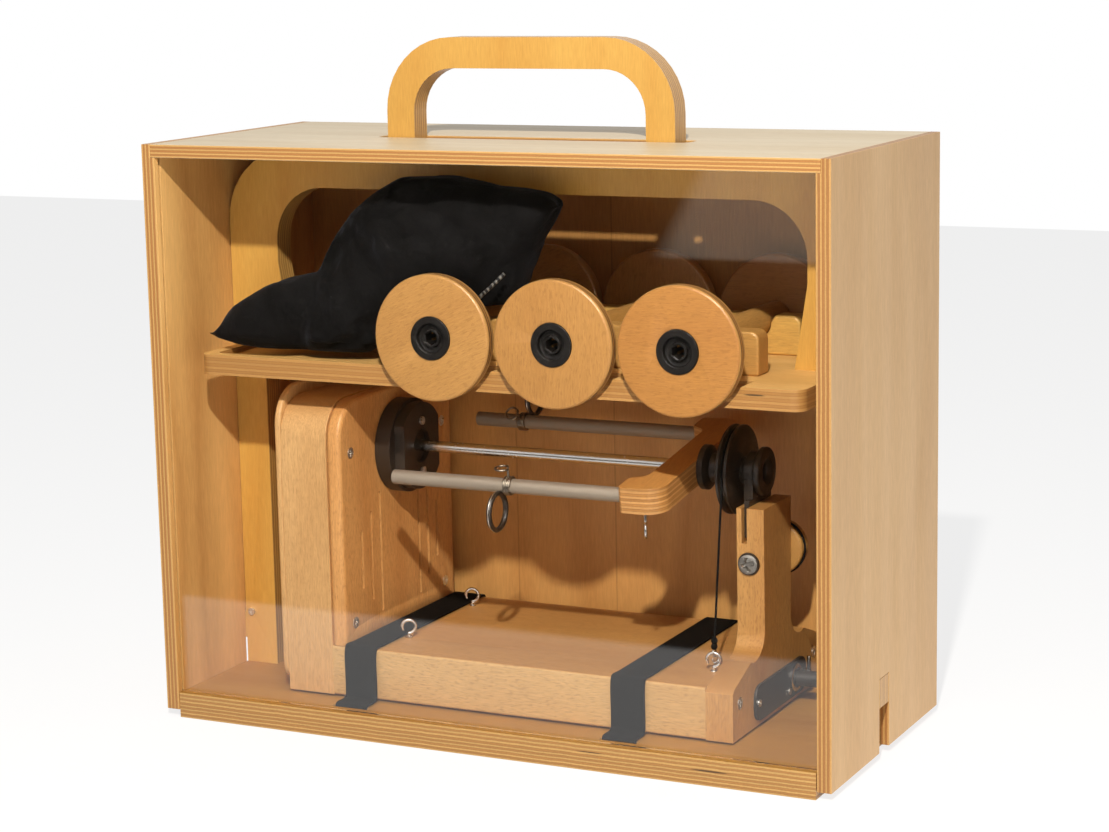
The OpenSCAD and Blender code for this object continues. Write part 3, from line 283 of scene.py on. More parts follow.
print("node helpers ready")

# %% [markdown]
# Wood is the main finish here, so it gets the most care. Beech and birch show three things: broad streaks
# along the grain, fine fibres, and on beech short dark flecks. All of them are noise that is stretched
# along the grain. On plywood the edge shows thin stripes, one for each ply, with a dark glue line between
# them. The stripes depend only on the place through the board's thickness, and a test on the surface
# direction tells edge from face.
# %% Wood
def roughen(nt, b, height, strength, depth):
    """Bump of that depth in metres."""
    bump = add(nt, "Bump", {"Height": height, "Strength": strength, "Distance": depth})
    nt.links.new(bump, b.inputs["Normal"])


def ply_stops(n, pale, deep, glue, seed):
    """Ramp stops for n plies: every other one is darker end grain, with a thin glue line after each."""
    rng = np.random.default_rng(seed)
    cuts = np.cumsum(rng.uniform(0.85, 1.15, n))
    cuts = np.concatenate([[0], cuts / cuts[-1]])
    stops = []
    for i in range(n):
        k = rng.uniform(0.92, 1.06)
        c = pale if i % 2 == 0 else deep
        stops.append((float(cuts[i]), (c[0] * k, c[1] * k, c[2] * k, 1.0)))
        if i < n - 1:
            stops.append((float(cuts[i + 1] - (0.35 if n < 4 else 0.10) / n), glue))
    return stops


def wood(name, pale, deep, grain, figure=0.35, fleck=0.25, rough=0.45, sheet=None, tilt=0.0, centre=(0, 0, 0),
         spin=0.0, shift=0.0, coat=0.0, top_shade=None, fine=0.12, seams=(), void_shade=()):
    """Wood with its grain along one axis: pale to deep by broad noise, growth rings (figure) and fibres.

    sheet is (axis, low, high, plies, pale, deep, glue) of a plywood edge. tilt and spin turn the wood's own
    frame round centre, and shift moves it, so that no two boards share a figure. lid is a colour of painted
    shade that darkens faces that look up, fine is the strength of single fibres, seams are dark joints at
    those x, and voids lists gaps in an edge, darkened with painted shade, each with its x, its z, half its
    length and half its height.
    """
    m, nt, b = finish(name, Roughness=rough, Coat_Weight=coat, Coat_Roughness=0.25)
    tc = nt.nodes.new("ShaderNodeTexCoord")
    co, nrm = tc.outputs["Object"], tc.outputs["Normal"]
    if tilt or spin:
        turn = (-tilt, spin, 0.0)
        co = add(nt, "Mapping", {"Vector": co, "Location": [-c for c in centre]})
        co = add(nt, "Mapping", {"Vector": co, "Rotation": turn})
        nrm = add(nt, "Mapping", {"Vector": nrm, "Rotation": turn}, vector_type="NORMAL")
    co = add(nt, "Mapping", {"Vector": co, "Location": (shift, shift * 1.7, shift * 0.6)})

    def stretched(along):
        s = [1.0, 1.0, 1.0]
        s[grain] = along
        return add(nt, "Mapping", {"Vector": co, "Scale": s})

    def noise(along, scale, detail, roughness, distortion=0.0):
        return add(nt, "TexNoise", {"Vector": stretched(along), "Scale": scale, "Detail": detail,
                                    "Roughness": roughness, "Distortion": distortion})

    broad = noise(0.10, 38.0, 5.0, 0.6, 0.3)
    fibre = noise(0.10, 980.0, 2.0, 0.6)
    rings = noise(0.22, 8.0, 2.0, 0.45, 0.2)
    rings = sums(nt, "PINGPONG", sums(nt, "MULTIPLY", rings, 11.0), 1.0)
    tone = sums(nt, "MULTIPLY_ADD", broad, 1.1, -0.05)
    tone = sums(nt, "MULTIPLY_ADD", rings, figure, sums(nt, "MULTIPLY", tone, 1.0 - figure))
    tone = sums(nt, "MULTIPLY_ADD", fibre, 0.35, sums(nt, "SUBTRACT", tone, 0.17))
    face = steps_ramp(nt, tone, [(0.15, pale), (0.85, deep)])
    hair = remap(nt, fibre, 0.25, 0.75, 1.0 + fine, 1.0 - fine)
    hair = add(nt, "CombineXYZ", {0: hair, 1: hair, 2: hair})
    face = add(nt, "VectorMath", {0: face, 1: hair}, operation="MULTIPLY")
    if fleck:
        f = noise(0.24, 1100.0, 1.0, 0.5)
        f = remap(nt, f, 0.57, 0.66, 0.0, fleck)
        face = blend_colour(nt, f, face, (deep[0] * 0.55, deep[1] * 0.48, deep[2] * 0.42, 1.0))
        end = add(nt, "SeparateXYZ", {0: nrm}, out=grain)
        end = remap(nt, sums(nt, "ABSOLUTE", end), 0.6, 0.8, 0.0, 0.35)
        face = blend_colour(nt, end, face, (deep[0] * 0.72, deep[1] * 0.66, deep[2] * 0.6, 1.0))
    if sheet:
        axis, low, high, plies, e_pale, e_deep, glue = sheet
        at = add(nt, "SeparateXYZ", {0: co}, out=axis)
        off = (shift, shift * 1.7, shift * 0.6)[axis]
        at = remap(nt, at, low + off, high + off, 0.0, 1.0)
        wob = add(nt, "TexNoise", {"Vector": co, "Scale": 60.0, "Detail": 2.0})
        at = sums(nt, "MULTIPLY_ADD", sums(nt, "SUBTRACT", wob, 0.5), 0.05, at)
        edge = steps_ramp(nt, at, ply_stops(plies, e_pale, e_deep, glue, 7 + plies), "CONSTANT")
        grit = add(nt, "TexNoise", {"Vector": co, "Scale": 900.0, "Detail": 2.0})
        edge = blend_colour(nt, sums(nt, "MULTIPLY", grit, 0.4), edge, glue)
        n = sums(nt, "ABSOLUTE", add(nt, "SeparateXYZ", {0: nrm}, out=axis))
        rim = remap(nt, n, 0.55, 0.65, 1.0, 0.0)
        face = blend_colour(nt, rim, face, edge)
    for at in seams:
        off = sums(nt, "SUBTRACT", add(nt, "SeparateXYZ", {0: tc.outputs["Object"]}), at)
        line = remap(nt, sums(nt, "ABSOLUTE", off), 0.0003, 0.0007, 0.35, 0.0)
        face = blend_colour(nt, line, face, (deep[0] * 0.25, deep[1] * 0.2, deep[2] * 0.16, 1.0))
    # Painted shade: each void in a ply edge is a dark patch, not a hole.
    for at, tall, half, thin in void_shade:
        away = add(nt, "VectorMath", {0: tc.outputs["Object"], 1: (at, 0.0, tall)}, operation="SUBTRACT")
        away = add(nt, "VectorMath", {0: away, 1: (1 / half, 0.0, 1 / thin)}, operation="MULTIPLY")
        away = add(nt, "VectorMath", {0: away}, out=1, operation="LENGTH")
        void_shade_mask = remap(nt, away, 0.7, 1.1, 0.85, 0.0)
        face = blend_colour(nt, void_shade_mask, face, (0.03, 0.015, 0.006, 1.0))
    # Painted shade: faces that look up are darkened by the given colour.
    if top_shade:
        rise = add(nt, "SeparateXYZ", {0: nrm}, out=2)
        flat = remap(nt, rise, 0.6, 0.9, 0.0, 1.0)
        face = blend_colour(nt, flat, face, blend_colour(nt, 1.0, face, top_shade, "MULTIPLY"))
    nt.links.new(face, b.inputs["Base Color"])
    gloss = remap(nt, broad, 0.2, 0.8, rough - 0.05, rough + 0.08)
    nt.links.new(gloss, b.inputs["Roughness"])
    roughen(nt, b, fibre, 0.12, 0.0003)
    return m


DISC = (srgb(187, 142, 76), srgb(172, 124, 60))
HONEY = (srgb(210, 165, 82), srgb(194, 141, 61))
EDGE = (srgb(210, 164, 98), srgb(176, 122, 66), srgb(122, 76, 36))
print("wood recipes ready")

# %% [markdown]
# The hood is birch plywood: 10 mm sides, a 9 mm top let into them, and a thin back. Each board needs its
# own material because its thickness runs another way. The faces are pale and calm, and the front edges show
# seven plies. Two fine upright lines on the back are joints of its face veneer.
# %% Hood
def board(node, axis, plies, tones, grain, edge=EDGE, **more):
    """Eased CAD board with a plywood material through its thickness axis."""
    lo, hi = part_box(node)
    mat = wood(node + "_ply", *tones, grain, sheet=(axis, lo[axis], hi[axis], plies, *edge), **more)
    return eased(node, mat)


X, Y, Z = 0, 1, 2
board("hood_left", X, 7, (srgb(232, 184, 114), srgb(198, 147, 83)), Z, figure=0.6, fleck=0.0, shift=0.31,
      fine=0.06)
# Painted shade: the right side is given a darker copy of the hood's birch and of its edge colours.
board("hood_right", X, 7, (srgb(208, 171, 120), srgb(190, 150, 100)), Z, figure=0.25, fleck=0.0, shift=0.13,
      fine=0.07, edge=(srgb(196, 150, 88), srgb(162, 112, 60), srgb(112, 70, 32)))
board("hood_top", Z, 7, (srgb(216, 199, 167), srgb(202, 180, 143)), X, figure=0.2, fleck=0.0, shift=0.71,
      fine=0.08)
board("hood_back", Y, 5, (srgb(206, 153, 86), srgb(184, 130, 68)), Z, figure=0.5, fleck=0.0, shift=0.52,
      fine=0.07, seams=(-0.0716, 0.0083))
print("hood boards done")

# %% [markdown]
# Clear acrylic is mostly invisible: what shows is its reflection. A Principled shader with full
# transmission gives the reflection at both faces. Shadow and bounce rays pass straight through instead,
# because light through clear sheet is hardly bent, and the renderer would otherwise leave the inside of the
# case dark.
# %% Clear window
acrylic, nt, b = finish("acrylic", Base_Color=(1, 1, 1, 1), Roughness=0.0, IOR=1.49, Transmission_Weight=1.0)
path = nt.nodes.new("ShaderNodeLightPath")
through = sums(nt, "MAXIMUM", path.outputs["Is Shadow Ray"], path.outputs["Is Diffuse Ray"])
clear = add(nt, "BsdfTransparent")
out = nt.nodes["Material Output"]
nt.links.new(add(nt, "MixShader", {0: through, 1: b.outputs[0], 2: clear}), out.inputs["Surface"])
window = NODES["hood_window"]
window.data.materials.clear()
window.data.materials.append(acrylic)
print("window done")

# %% [markdown]
# The base board and the shelf are thicker birch plywood. The carry frame is one piece of plywood with the
# handle, and its varnish has turned a warm honey colour, which sets it off from everything else. The short
# dark gaps in the edges of base board and shelf are voids of an inner ply, drawn as painted shade on the
# edge instead of as holes.
# %% Base, shelf and carry frame
lo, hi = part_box("base_board")
base_edge = (srgb(208, 166, 100), srgb(176, 128, 70), srgb(122, 78, 38))
# The base board's top gets strong painted shade on its upward faces.
base_wood = wood("base_ply", srgb(206, 160, 102), srgb(184, 134, 78), X, figure=0.3, fleck=0.0, shift=0.2,
                 sheet=(Z, lo[2], hi[2], 13, *base_edge), top_shade=(0.66, 0.57, 0.25, 1.0),
                 void_shade=((0.1667, 0.0101, 0.014, 0.0006), (0.0814, 0.0126, 0.010, 0.0004)))
eased("base_board", base_wood)
lo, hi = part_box("shelf")
soft_edge = (srgb(186, 138, 76), srgb(170, 121, 62), srgb(132, 86, 40))
shelf_wood = wood("shelf_ply", srgb(228, 184, 114), srgb(208, 160, 90), X, figure=0.3, fleck=0.0, shift=0.9,
                  sheet=(Z, lo[2], hi[2], 7, *soft_edge), void_shade=((0.1924, 0.2543, 0.0075, 0.0006),))
eased("shelf", shelf_wood, 0.0012, 3)
lo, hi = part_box("carry_frame")
honey_edge = (srgb(222, 176, 98), srgb(184, 134, 66), srgb(128, 84, 36))
frame_wood = wood("frame_honey", *HONEY, Z, figure=0.2, fleck=0.0, rough=0.36, coat=0.15, fine=0.07,
                  sheet=(Y, lo[1], hi[1], 13, *honey_edge))
eased("carry_frame", frame_wood, 0.0012, 3)
# Painted light: the rear rack is a lighter copy of the front rack's beech.
REAR_RACK_PAINTED_LIGHT = (srgb(212, 168, 88), srgb(194, 148, 72))
eased("rack_front", wood("rack_beech", *DISC, X, figure=0.15, fleck=0.2), 0.0018, 3)
eased("rack_rear", wood("rack_rear_painted_light_beech", *REAR_RACK_PAINTED_LIGHT, X, figure=0.15, fleck=0.2), 0.0018, 3)
print("carcass done")

# %% [markdown]
# Each bobbin has two beech flanges, and the grain lies another way on each bobbin, as it does when discs
# are cut from a board without sorting them. Two thin dark lines round the rim are the glue joints of three
# layers.
# %% Bobbins
RIM = (srgb(206, 156, 90), srgb(186, 134, 72), srgb(78, 46, 20))
DISCS = ((srgb(186, 138, 75), srgb(172, 121, 60)), (srgb(184, 134, 71), srgb(170, 118, 57)),
         (srgb(182, 127, 61), srgb(168, 111, 49)))
for i, spin in ((1, radians(24)), (2, radians(88)), (3, radians(2))):
    node = f"bobbin{i}_flanges"
    lo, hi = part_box(node)
    mid = ((lo[0] + hi[0]) / 2, 0.0, (lo[2] + hi[2]) / 2)
    mat = wood(f"disc_beech_{i}", *DISCS[i - 1], X, figure=0.12, fleck=0.28, fine=0.09, rough=0.4, centre=mid,
               spin=spin, coat=0.1, sheet=(Y, lo[1] + 0.0006, lo[1] + 0.0092, 3, *RIM))
    eased(node, mat, 0.0005)
    eased(f"bobbin{i}_core", wood(f"core_beech_{i}", *DISC, Y, figure=0.1, fleck=0.3, shift=0.1 * i))
print("bobbins done")

# %% [markdown]
# The black bushings in the bobbins have a flat outer ring, a groove, an inner ring and a six-sided hole. We
# make them like turned pieces, with one change: near the hole the radius also depends on the angle. For a
# hexagon with half width a that radius is a / cos(angle measured from the middle of its side).
# %% Bushings
def hex_turned(name, profile, centre, sign, n=96):
    """Piece turned about Y; profile rows are (depth, radius, 0 for round or 1 for six-sided)."""
    q = np.asarray(profile, float)
    k = np.linspace(0, 2 * pi, n, endpoint=False)
    side = (k + pi / 6) % (pi / 3) - pi / 6
    r = q[:, None, 1] / np.where(q[:, None, 2] > 0, np.cos(side)[None], 1.0)
    P = np.stack([centre[0] + r * np.cos(k), centre[1] + sign * np.broadcast_to(q[:, None, 0], r.shape),
                  centre[2] + r * np.sin(k)], -1)
    return point_grid(name, P, wrap_u=True, wrap_v=True)


def plastic(name, colour, rough=0.4, grain=0.0):
    """Moulded plastic: even colour with a fine grain in its gloss."""
    m, nt, b = finish(name, Base_Color=colour, Roughness=rough, IOR=1.48)
    tc = nt.nodes.new("ShaderNodeTexCoord").outputs["Object"]
    n = add(nt, "TexNoise", {"Vector": tc, "Scale": 900.0, "Detail": 3.0})
    gloss = remap(nt, n, 0.3, 0.7, rough - 0.06, rough + 0.08)
    nt.links.new(gloss, b.inputs["Roughness"])
    if grain:
        roughen(nt, b, n, grain, 0.0002)
    return m


def metal(name, colour, rough=0.25, lines=None):
    """Bright metal; lines is the axis along which it was drawn or brushed."""
    m, nt, b = finish(name, Base_Color=colour, Metallic=1.0, Roughness=rough)
    tc = nt.nodes.new("ShaderNodeTexCoord").outputs["Object"]
    s = [1.0, 1.0, 1.0]
    if lines is not None:
        s[lines] = 0.02
    co = add(nt, "Mapping", {"Vector": tc, "Scale": s})
    n = add(nt, "TexNoise", {"Vector": co, "Scale": 500.0, "Detail": 3.0})
    gloss = remap(nt, n, 0.3, 0.7, rough * 0.8, rough * 1.25)
    nt.links.new(gloss, b.inputs["Roughness"])
    return m


BLACK = plastic("black_plastic", srgb(48, 37, 27), 0.42, 0.1)
SATIN = plastic("satin_black", srgb(42, 32, 23), 0.38, 0.05)
MATT = plastic("matt_black", srgb(14, 10, 7), 0.5, 0.1)
MATT.node_tree.nodes["Principled BSDF"].inputs["Specular IOR Level"].default_value = 0.28
STEEL = metal("bright_steel", (0.66, 0.64, 0.60, 1.0), 0.22)
ZINC = metal("zinc_plate", (0.70, 0.67, 0.61, 1.0), 0.3)
TUBE = metal("drawn_tube", (0.31, 0.255, 0.195, 1.0), 0.52, lines=X)
TUBE.node_tree.nodes["Principled BSDF"].inputs["Metallic"].default_value = 0.4
DARK_WIRE = metal("dark_wire", (0.26, 0.22, 0.17, 1.0), 0.34)
RUBBER = plastic("rubber", srgb(34, 33, 32), 0.75, 0.1)
ROUND, SIX = 0, 1
BUSHING = [(0.0003, 0.0145, ROUND), (0.0, 0.0142, ROUND), (0.0, 0.0102, ROUND), (0.0004, 0.0098, ROUND),
           (0.0034, 0.0094, ROUND), (0.0036, 0.0090, ROUND), (0.0036, 0.0066, ROUND), (0.0018, 0.0062, ROUND),
           (0.0014, 0.0058, ROUND), (0.0014, 0.0046, SIX), (0.0019, 0.0041, SIX), (0.0400, 0.0041, SIX),
           (0.0400, 0.0052, ROUND), (0.0064, 0.0068, ROUND), (0.0042, 0.0072, ROUND), (0.0041, 0.0145, ROUND)]
for i in (1, 2, 3):
    node = f"bobbin{i}_bushings"
    lo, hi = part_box(node)
    cx, cz = (lo[0] + hi[0]) / 2, (lo[2] + hi[2]) / 2
    ends = [hex_turned(f"bush{i}{s}", BUSHING, (cx, y, cz), s) for y, s in ((lo[1], 1), (hi[1], -1))]
    place(joined(node + "_moulded", ends), MATT, BODY_OF[node], node, sharp=32)
print("bushings done")

# %% [markdown]
# The motor housing is a hollow block of pale beech with its grain upright, a plate with vent slots on its
# right and a taller cover on its left. The upright that carries the flyer's right end is a solid plank with
# rounded edges, and a clamping kerf is sawn into its top.
# %% Housing, spinner base and upright
PALE = (srgb(212, 168, 111), srgb(190, 143, 87))
block_wood = wood("block_beech", *PALE, Z, figure=0.3, fleck=0.25, shift=0.4)
plate_wood = wood("plate_beech", srgb(213, 158, 94), srgb(191, 131, 70), Z, figure=0.3, fleck=0.35, shift=0.8)
cover_wood = wood("cover_beech", *PALE, Z, figure=0.3, fleck=0.25, shift=1.3)
# The spinner base's deck gets painted shade on its upward faces.
deck_wood = wood("deck_beech", srgb(205, 165, 107), srgb(184, 141, 85), X, figure=0.35, fleck=0.4, shift=0.6,
                 top_shade=(0.90, 0.76, 0.58, 1.0))
post_wood = wood("post_beech", srgb(194, 147, 84), srgb(173, 121, 62), Z, figure=0.3, fleck=0.4, shift=1.1)
plate_lo, plate_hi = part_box("housing_plate")
PLATE_CORNER = 0.027


def on_plate_rim(p):
    """True on the plate's outline: about a corner's radius away from the middle of its rounded corner."""
    y = abs(p.y - (plate_lo[1] + plate_hi[1]) / 2) - (plate_hi[1] - plate_lo[1]) / 2 + PLATE_CORNER
    z = p.z - plate_hi[2] + PLATE_CORNER
    away = max(y, z) if min(y, z) < 0 else (y * y + z * z) ** 0.5
    return away > PLATE_CORNER - 0.0008 and p.z > plate_lo[2] + 0.001


def on_post_rim(p):
    """True on the upright's outline, away from the kerf and the screw holes."""
    lo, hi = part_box("upright")
    side = min(abs(p.x - lo[0]), abs(p.x - hi[0])) < 0.0005
    y = abs(p.y - (lo[1] + hi[1]) / 2)
    return side and (y > 0.0249 or p.z > hi[2] - 0.0005) and not (y > 0.058 and 0.038 < p.z < 0.049)


eased("housing_block", block_wood, 0.0015, 3)
eased("housing_plate", plate_wood, 0.0003, 2, angle=40, wide=(0.0032, 4, on_plate_rim))
eased("housing_cover", cover_wood, 0.0018, 3)
eased("spinner_base", deck_wood, 0.0012, 3)
eased("upright", post_wood, 0.0004, 2, angle=40, wide=(0.0032, 4, on_post_rim))
eased("tension_knob", wood("knob_beech", *DISC, Y, figure=0.2, fleck=0.3), 0.0006)
eased("spinner_feet", RUBBER, 0.0006)
print("housing done")

# %% [markdown]
# The flyer turns as one piece. Its yoke is laminated: thin layers of light and darker wood glued face to
# face, which show as lines along its edge. The layers lean with the flyer, so the wood's own frame is
# turned by the same angle. Under the yoke's front end hangs a small eye of bent wire, open on one side.
# %% Flyer
TILT = radians(8.4)
AXIS_Y, AXIS_Z = 0.009, 0.1848
layers = (srgb(218, 162, 96), srgb(190, 134, 70), srgb(104, 62, 28))
yoke_wood = wood("yoke_laminate", srgb(204, 148, 80), srgb(178, 121, 60), Y, figure=0.25, fleck=0.3,
                 rough=0.42, tilt=TILT, centre=(0, AXIS_Y, AXIS_Z), sheet=(Z, -0.009, 0.009, 10, *layers))
eased("flyer_yoke", yoke_wood, 0.0012, 3)
for n in ("flyer_tube_front", "flyer_tube_rear"):
    eased(n, TUBE, 0.0002, 2)
eased("flyer_shaft", STEEL, 0.0003, 2)
eased("brake_pulley", SATIN, 0.0003, 2)
eased("orifice", SATIN, 0.0005, 3)
lo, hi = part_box("yoke_hook")
hx, hy = (lo[0] + hi[0]) / 2, (lo[1] + hi[1]) / 2
q = np.radians(np.linspace(90, -215, 48))
low, side = lo[2] - 0.0010, np.array([-0.42, 0.91])
sway = 0.0040 * np.cos(q)
ring = np.stack([hx + side[0] * sway, hy + side[1] * sway, low + 0.0054 * np.sin(q)], -1)
shank = np.stack([np.full(8, hx), np.full(8, hy), np.linspace(hi[2] - 0.004, low + 0.0060, 8)], -1)
eye_wire = wire("yoke_eye", np.concatenate([shank, ring]), 0.0011, (0.91, 0.42, 0.02))
place(eye_wire, STEEL, "flyer", "yoke_hook")
eased("drive_hub", BLACK, 0.0006, 3)
eased("drive_pulley", BLACK, 0.0003)
eased("bearing_block", BLACK, 0.0006, 3)
print("flyer done")

# %% [markdown]
# A sliding hook is bent from dark wire: three and a half turns hug the tube, a small finger loop sticks
# out, and a plastic ring with a steel wire on its rim guides the yarn. The turns are a helix, a circle that
# moves along the tube as it goes round.
# %% Sliding hooks
def sliding_hook(node, body, x0, side, tube_y, ring_at, loop_turn):
    """Helix round the tube, finger loop and guide ring of one hook, in the flyer's tilted frame."""
    def tilted(p):
        p = np.asarray(p, float)
        c, s = cos(TILT), sin(TILT)
        y, z = AXIS_Y + c * p[..., 1] - s * p[..., 2], AXIS_Z + s * p[..., 1] + c * p[..., 2]
        return np.stack([p[..., 0], y, z], -1)

    r = 0.0058
    a = np.linspace(0, 2 * pi * 3.4, 200)
    coil = np.stack([x0 + 0.0002 + 0.0050 * a / a[-1], tube_y + r * np.cos(a + side), r * np.sin(a + side)],
                    -1)
    mid = x0 + 0.0027
    out = np.array([0.0, cos(loop_turn), sin(loop_turn)])
    base = np.array([mid, tube_y, 0.0])
    stem = np.linspace(0.0058, 0.0118, 12)[:, None] * out + base
    k = np.linspace(0, 2 * pi, 48)
    loop_r = 0.0045
    loop_mid = base + 0.0119 * out - np.array([loop_r, 0.0, 0.0])
    lie, across = np.array([1.0, 0.0, 0.0]), np.array([0.0, -out[2], out[1]])
    loop = loop_mid + loop_r * (np.cos(k)[:, None] * lie + np.sin(k)[:, None] * across)
    loop = loop + 0.0008 * (k / 6.3)[:, None] * out
    parts = [wire("coil", tilted(coil), 0.0009, (1, 0, 0)), wire("stem", tilted(stem), 0.0009, (1, 0.1, 0.1)),
             wire("loop", tilted(loop), 0.00075, out + np.array([0.01, 0.0, 0.0]))]
    lean, dy, dz = ring_at
    centre = np.array([mid + lean, tube_y + dy, dz])
    q = np.linspace(0, 2 * pi, 24, endpoint=False)
    profile = np.stack([0.0020 * np.cos(q), 0.01245 + 0.0017 * np.sin(q)], -1)
    t = np.linspace(0, 2 * pi, 96, endpoint=False)
    along, away = np.broadcast_to(profile[:, None, 0], (24, 96)), profile[:, None, 1]
    P = np.stack([centre[0] + along, centre[1] + away * np.cos(t), centre[2] + away * np.sin(t)], -1)
    guide = point_grid(node + "_ring", tilted(P), wrap_u=True, wrap_v=True)
    towards = np.array([0.0, -dy, -dz]) / np.hypot(dy, dz)
    near = centre + 0.0140 * towards
    start = base + np.array([0.0, dy, dz]) / np.hypot(dy, dz) * 0.0060
    arm = smooth_line([start, (start + near) / 2 + [0.0, 0.0, 0.0006], near], 24)
    parts.append(wire("arm", tilted(arm), 0.0009, (0.1, 0.2, 1)))
    place(guide, SATIN, body)
    place(joined(node + "_bent", parts), DARK_WIRE, body, node, sharp=60)
    rim_r = 0.01405
    rim = np.stack([np.full(96, centre[0]), centre[1] + rim_r * np.cos(t), centre[2] + rim_r * np.sin(t)], -1)
    place(wire(node + "_rim_wire", tilted(rim), 0.00045, (1, 0, 0), closed=True), STEEL, body)


FRONT_X = (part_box("flyer_tube_front")[0][0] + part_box("flyer_yoke")[0][0]) / 2 - 0.001
REAR_X = FRONT_X - 0.052
sliding_hook("hook_front", "front_hook", FRONT_X, 0.4, -0.064, (-0.0057, -0.0098, -0.0155), pi / 2)
sliding_hook("hook_rear", "rear_hook", REAR_X, 2.2, 0.064, (0.0057, 0.0098, 0.0155), radians(135))
print("hooks done")

# %% [markdown]
# Cup hooks are open rings of plated wire on a short stem with a collar. The wire's radius shrinks at the
# free end, as it does on a real one. The brake cord is held by two small wire links in such a hook. It runs
# up over the grooved pulley and back down to the wooden knob, round which it's laid.
# %% Cup hooks and brake cord
def cup_hook(x, y, z0, r=0.0047, turn=0.0):
    """Stem with a collar and a ring that opens at its lower left."""
    a = np.radians(np.linspace(-90, 215, 60))
    ring = np.stack([r * np.cos(a), 0 * a, 0.0032 + r + r * np.sin(a)], -1)
    stem = np.stack([np.zeros(8), np.zeros(8), np.linspace(-0.002, 0.003, 8)], -1)
    p = np.concatenate([stem, ring])
    rad = np.full(len(p), 0.00115)
    rad[-6:] = np.linspace(0.00112, 0.0007, 6)
    c, s = cos(turn), sin(turn)
    p = np.stack([x + c * p[:, 0], y + s * p[:, 0], z0 + p[:, 2]], -1)
    collar = [(0.0, 0.0003), (0.0, 0.0026), (0.0005, 0.0028), (0.0009, 0.0022), (0.0014, 0.0003)]
    return [wire("ring", p, rad, (s + 0.01, -c, 0.02)), turned("collar", collar, (x, y, z0), (0, 0, 1), 32)]


deck_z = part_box("spinner_base")[1][2]
plate_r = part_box("housing_plate")[1][0]
deck_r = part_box("spinner_base")[1][0]
body_y, body_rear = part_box("spinner_base")[0][1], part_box("spinner_base")[1][1]
parts = cup_hook(plate_r + 0.029, body_y + 0.038, deck_z, turn=0.5)
parts += cup_hook(plate_r + 0.029, body_rear - 0.028, deck_z, turn=0.3)
place(joined("cup_hooks", parts), STEEL, "base", "base_hooks", sharp=50)
eye = (deck_r - 0.0096, body_y + 0.038)
place(joined("brake_hook", cup_hook(*eye, deck_z, turn=0.2)), STEEL, "base", "brake_eye")

cord_black, nt, b = finish("braided_cord", Base_Color=srgb(14, 13, 12), Roughness=0.8,
                           Specular_IOR_Level=0.15)
uv = nt.nodes.new("ShaderNodeTexCoord").outputs["Object"]
braid = add(nt, "TexWave", {"Vector": uv, "Scale": 700.0, "Distortion": 1.5, "Detail": 1.0}, out=1,
            bands_direction="DIAGONAL")
roughen(nt, b, braid, 0.4, 0.0002)
cord_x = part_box("brake_pulley")[1][0] - 0.00675
up_mid = (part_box("upright")[0][0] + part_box("upright")[1][0]) / 2 - 0.001
knob_y0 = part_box("tension_knob")[0][1]
a = np.radians(np.arange(188, -8, -6.0))
groove_r = 0.0281
over = np.stack([np.full(len(a), cord_x), AXIS_Y + groove_r * np.cos(a), AXIS_Z + groove_r * np.sin(a)], -1)
g = np.radians(np.arange(112, -66, -8.0))
knob_r, knob_z = 0.0188, 0.1264
grip_y = np.full(len(g), knob_y0 + 0.005)
grip = np.stack([up_mid + knob_r * np.cos(g), grip_y, knob_z + knob_r * np.sin(g)], -1)
start, meet = np.array([eye[0], eye[1] + 0.001, deck_z + 0.0165]), over[0] - [0, 0, 0.002]
climb = [start + (meet - start) * f for f in (0.0, 0.25, 0.5, 0.75, 0.93)]
drop = [[cord_x + 0.002, AXIS_Y + 0.0285, AXIS_Z - 0.018], [cord_x + 0.006, knob_y0 + 0.002, AXIS_Z - 0.034]]
cord_line = smooth_line(np.concatenate([climb, over, drop, grip]), 420)
bead = [(-0.0026, 0.0003), (-0.0020, 0.0017), (-0.0006, 0.0023), (0.0006, 0.0021), (0.0020, 0.0015),
        (0.0026, 0.0003)]
knots = [turned("knot", bead, start + [0, 0, rise], (lean, 0.15, 1), 20)
         for rise, lean in ((0.0006, 0.1), (0.0046, -0.2))]
brake = joined("brake_cord_braid", [wire("cord", cord_line, 0.0008, (1, 0.01, 0.02), n=10)] + knots)
place(brake, cord_black, "base", "brake_cord")
q = np.radians(np.linspace(100, 430, 40))
link = start + np.stack([0 * q, -0.0002 + 0.0026 * np.cos(q), -0.0040 + 0.0026 * np.sin(q)], -1)
q = np.radians(np.linspace(0, 290, 36))
swing = 0.0022 * np.sin(q)
low = start + np.stack([0.0010 + 0.6 * swing, swing, -0.0085 + 0.0022 * np.cos(q)], -1)
links = [wire("link", link, 0.0006, (1, 0.02, 0.01)), wire("low", low, 0.0006, (1, -0.6, 0.01))]
place(joined("brake_link", links), STEEL, "base")
print("cord length", round(float(np.linalg.norm(np.diff(cord_line, axis=0), axis=1).sum()), 4))

# %% [markdown]
# The straps are woven nylon. We sweep a flat rounded section along the strap's own line: up out of its slot
# in the base board, along the board as a short foot, straight up the block's front, over its top, down
# again behind and back under the board. The weave is two crossed waves in the material.
# %% Straps
webbing, nt, b = finish("webbing", Base_Color=srgb(18, 16, 15), Roughness=0.9, Specular_IOR_Level=0.04)
uv = nt.nodes.new("ShaderNodeUVMap").outputs["UV"]
warp = add(nt, "TexWave", {"Vector": uv, "Scale": 0.55, "Distortion": 0.4, "Detail": 1.0}, out=1,
           bands_direction="X")
weft = add(nt, "TexWave", {"Vector": uv, "Scale": 0.50, "Distortion": 0.6, "Detail": 1.0}, out=1,
           bands_direction="Y")
both = sums(nt, "MULTIPLY_ADD", warp, 0.7, weft)
nt.links.new(blend_colour(nt, both, srgb(5, 4, 3), srgb(22, 18, 14)), b.inputs["Base Color"])
roughen(nt, b, both, 0.3, 0.0003)


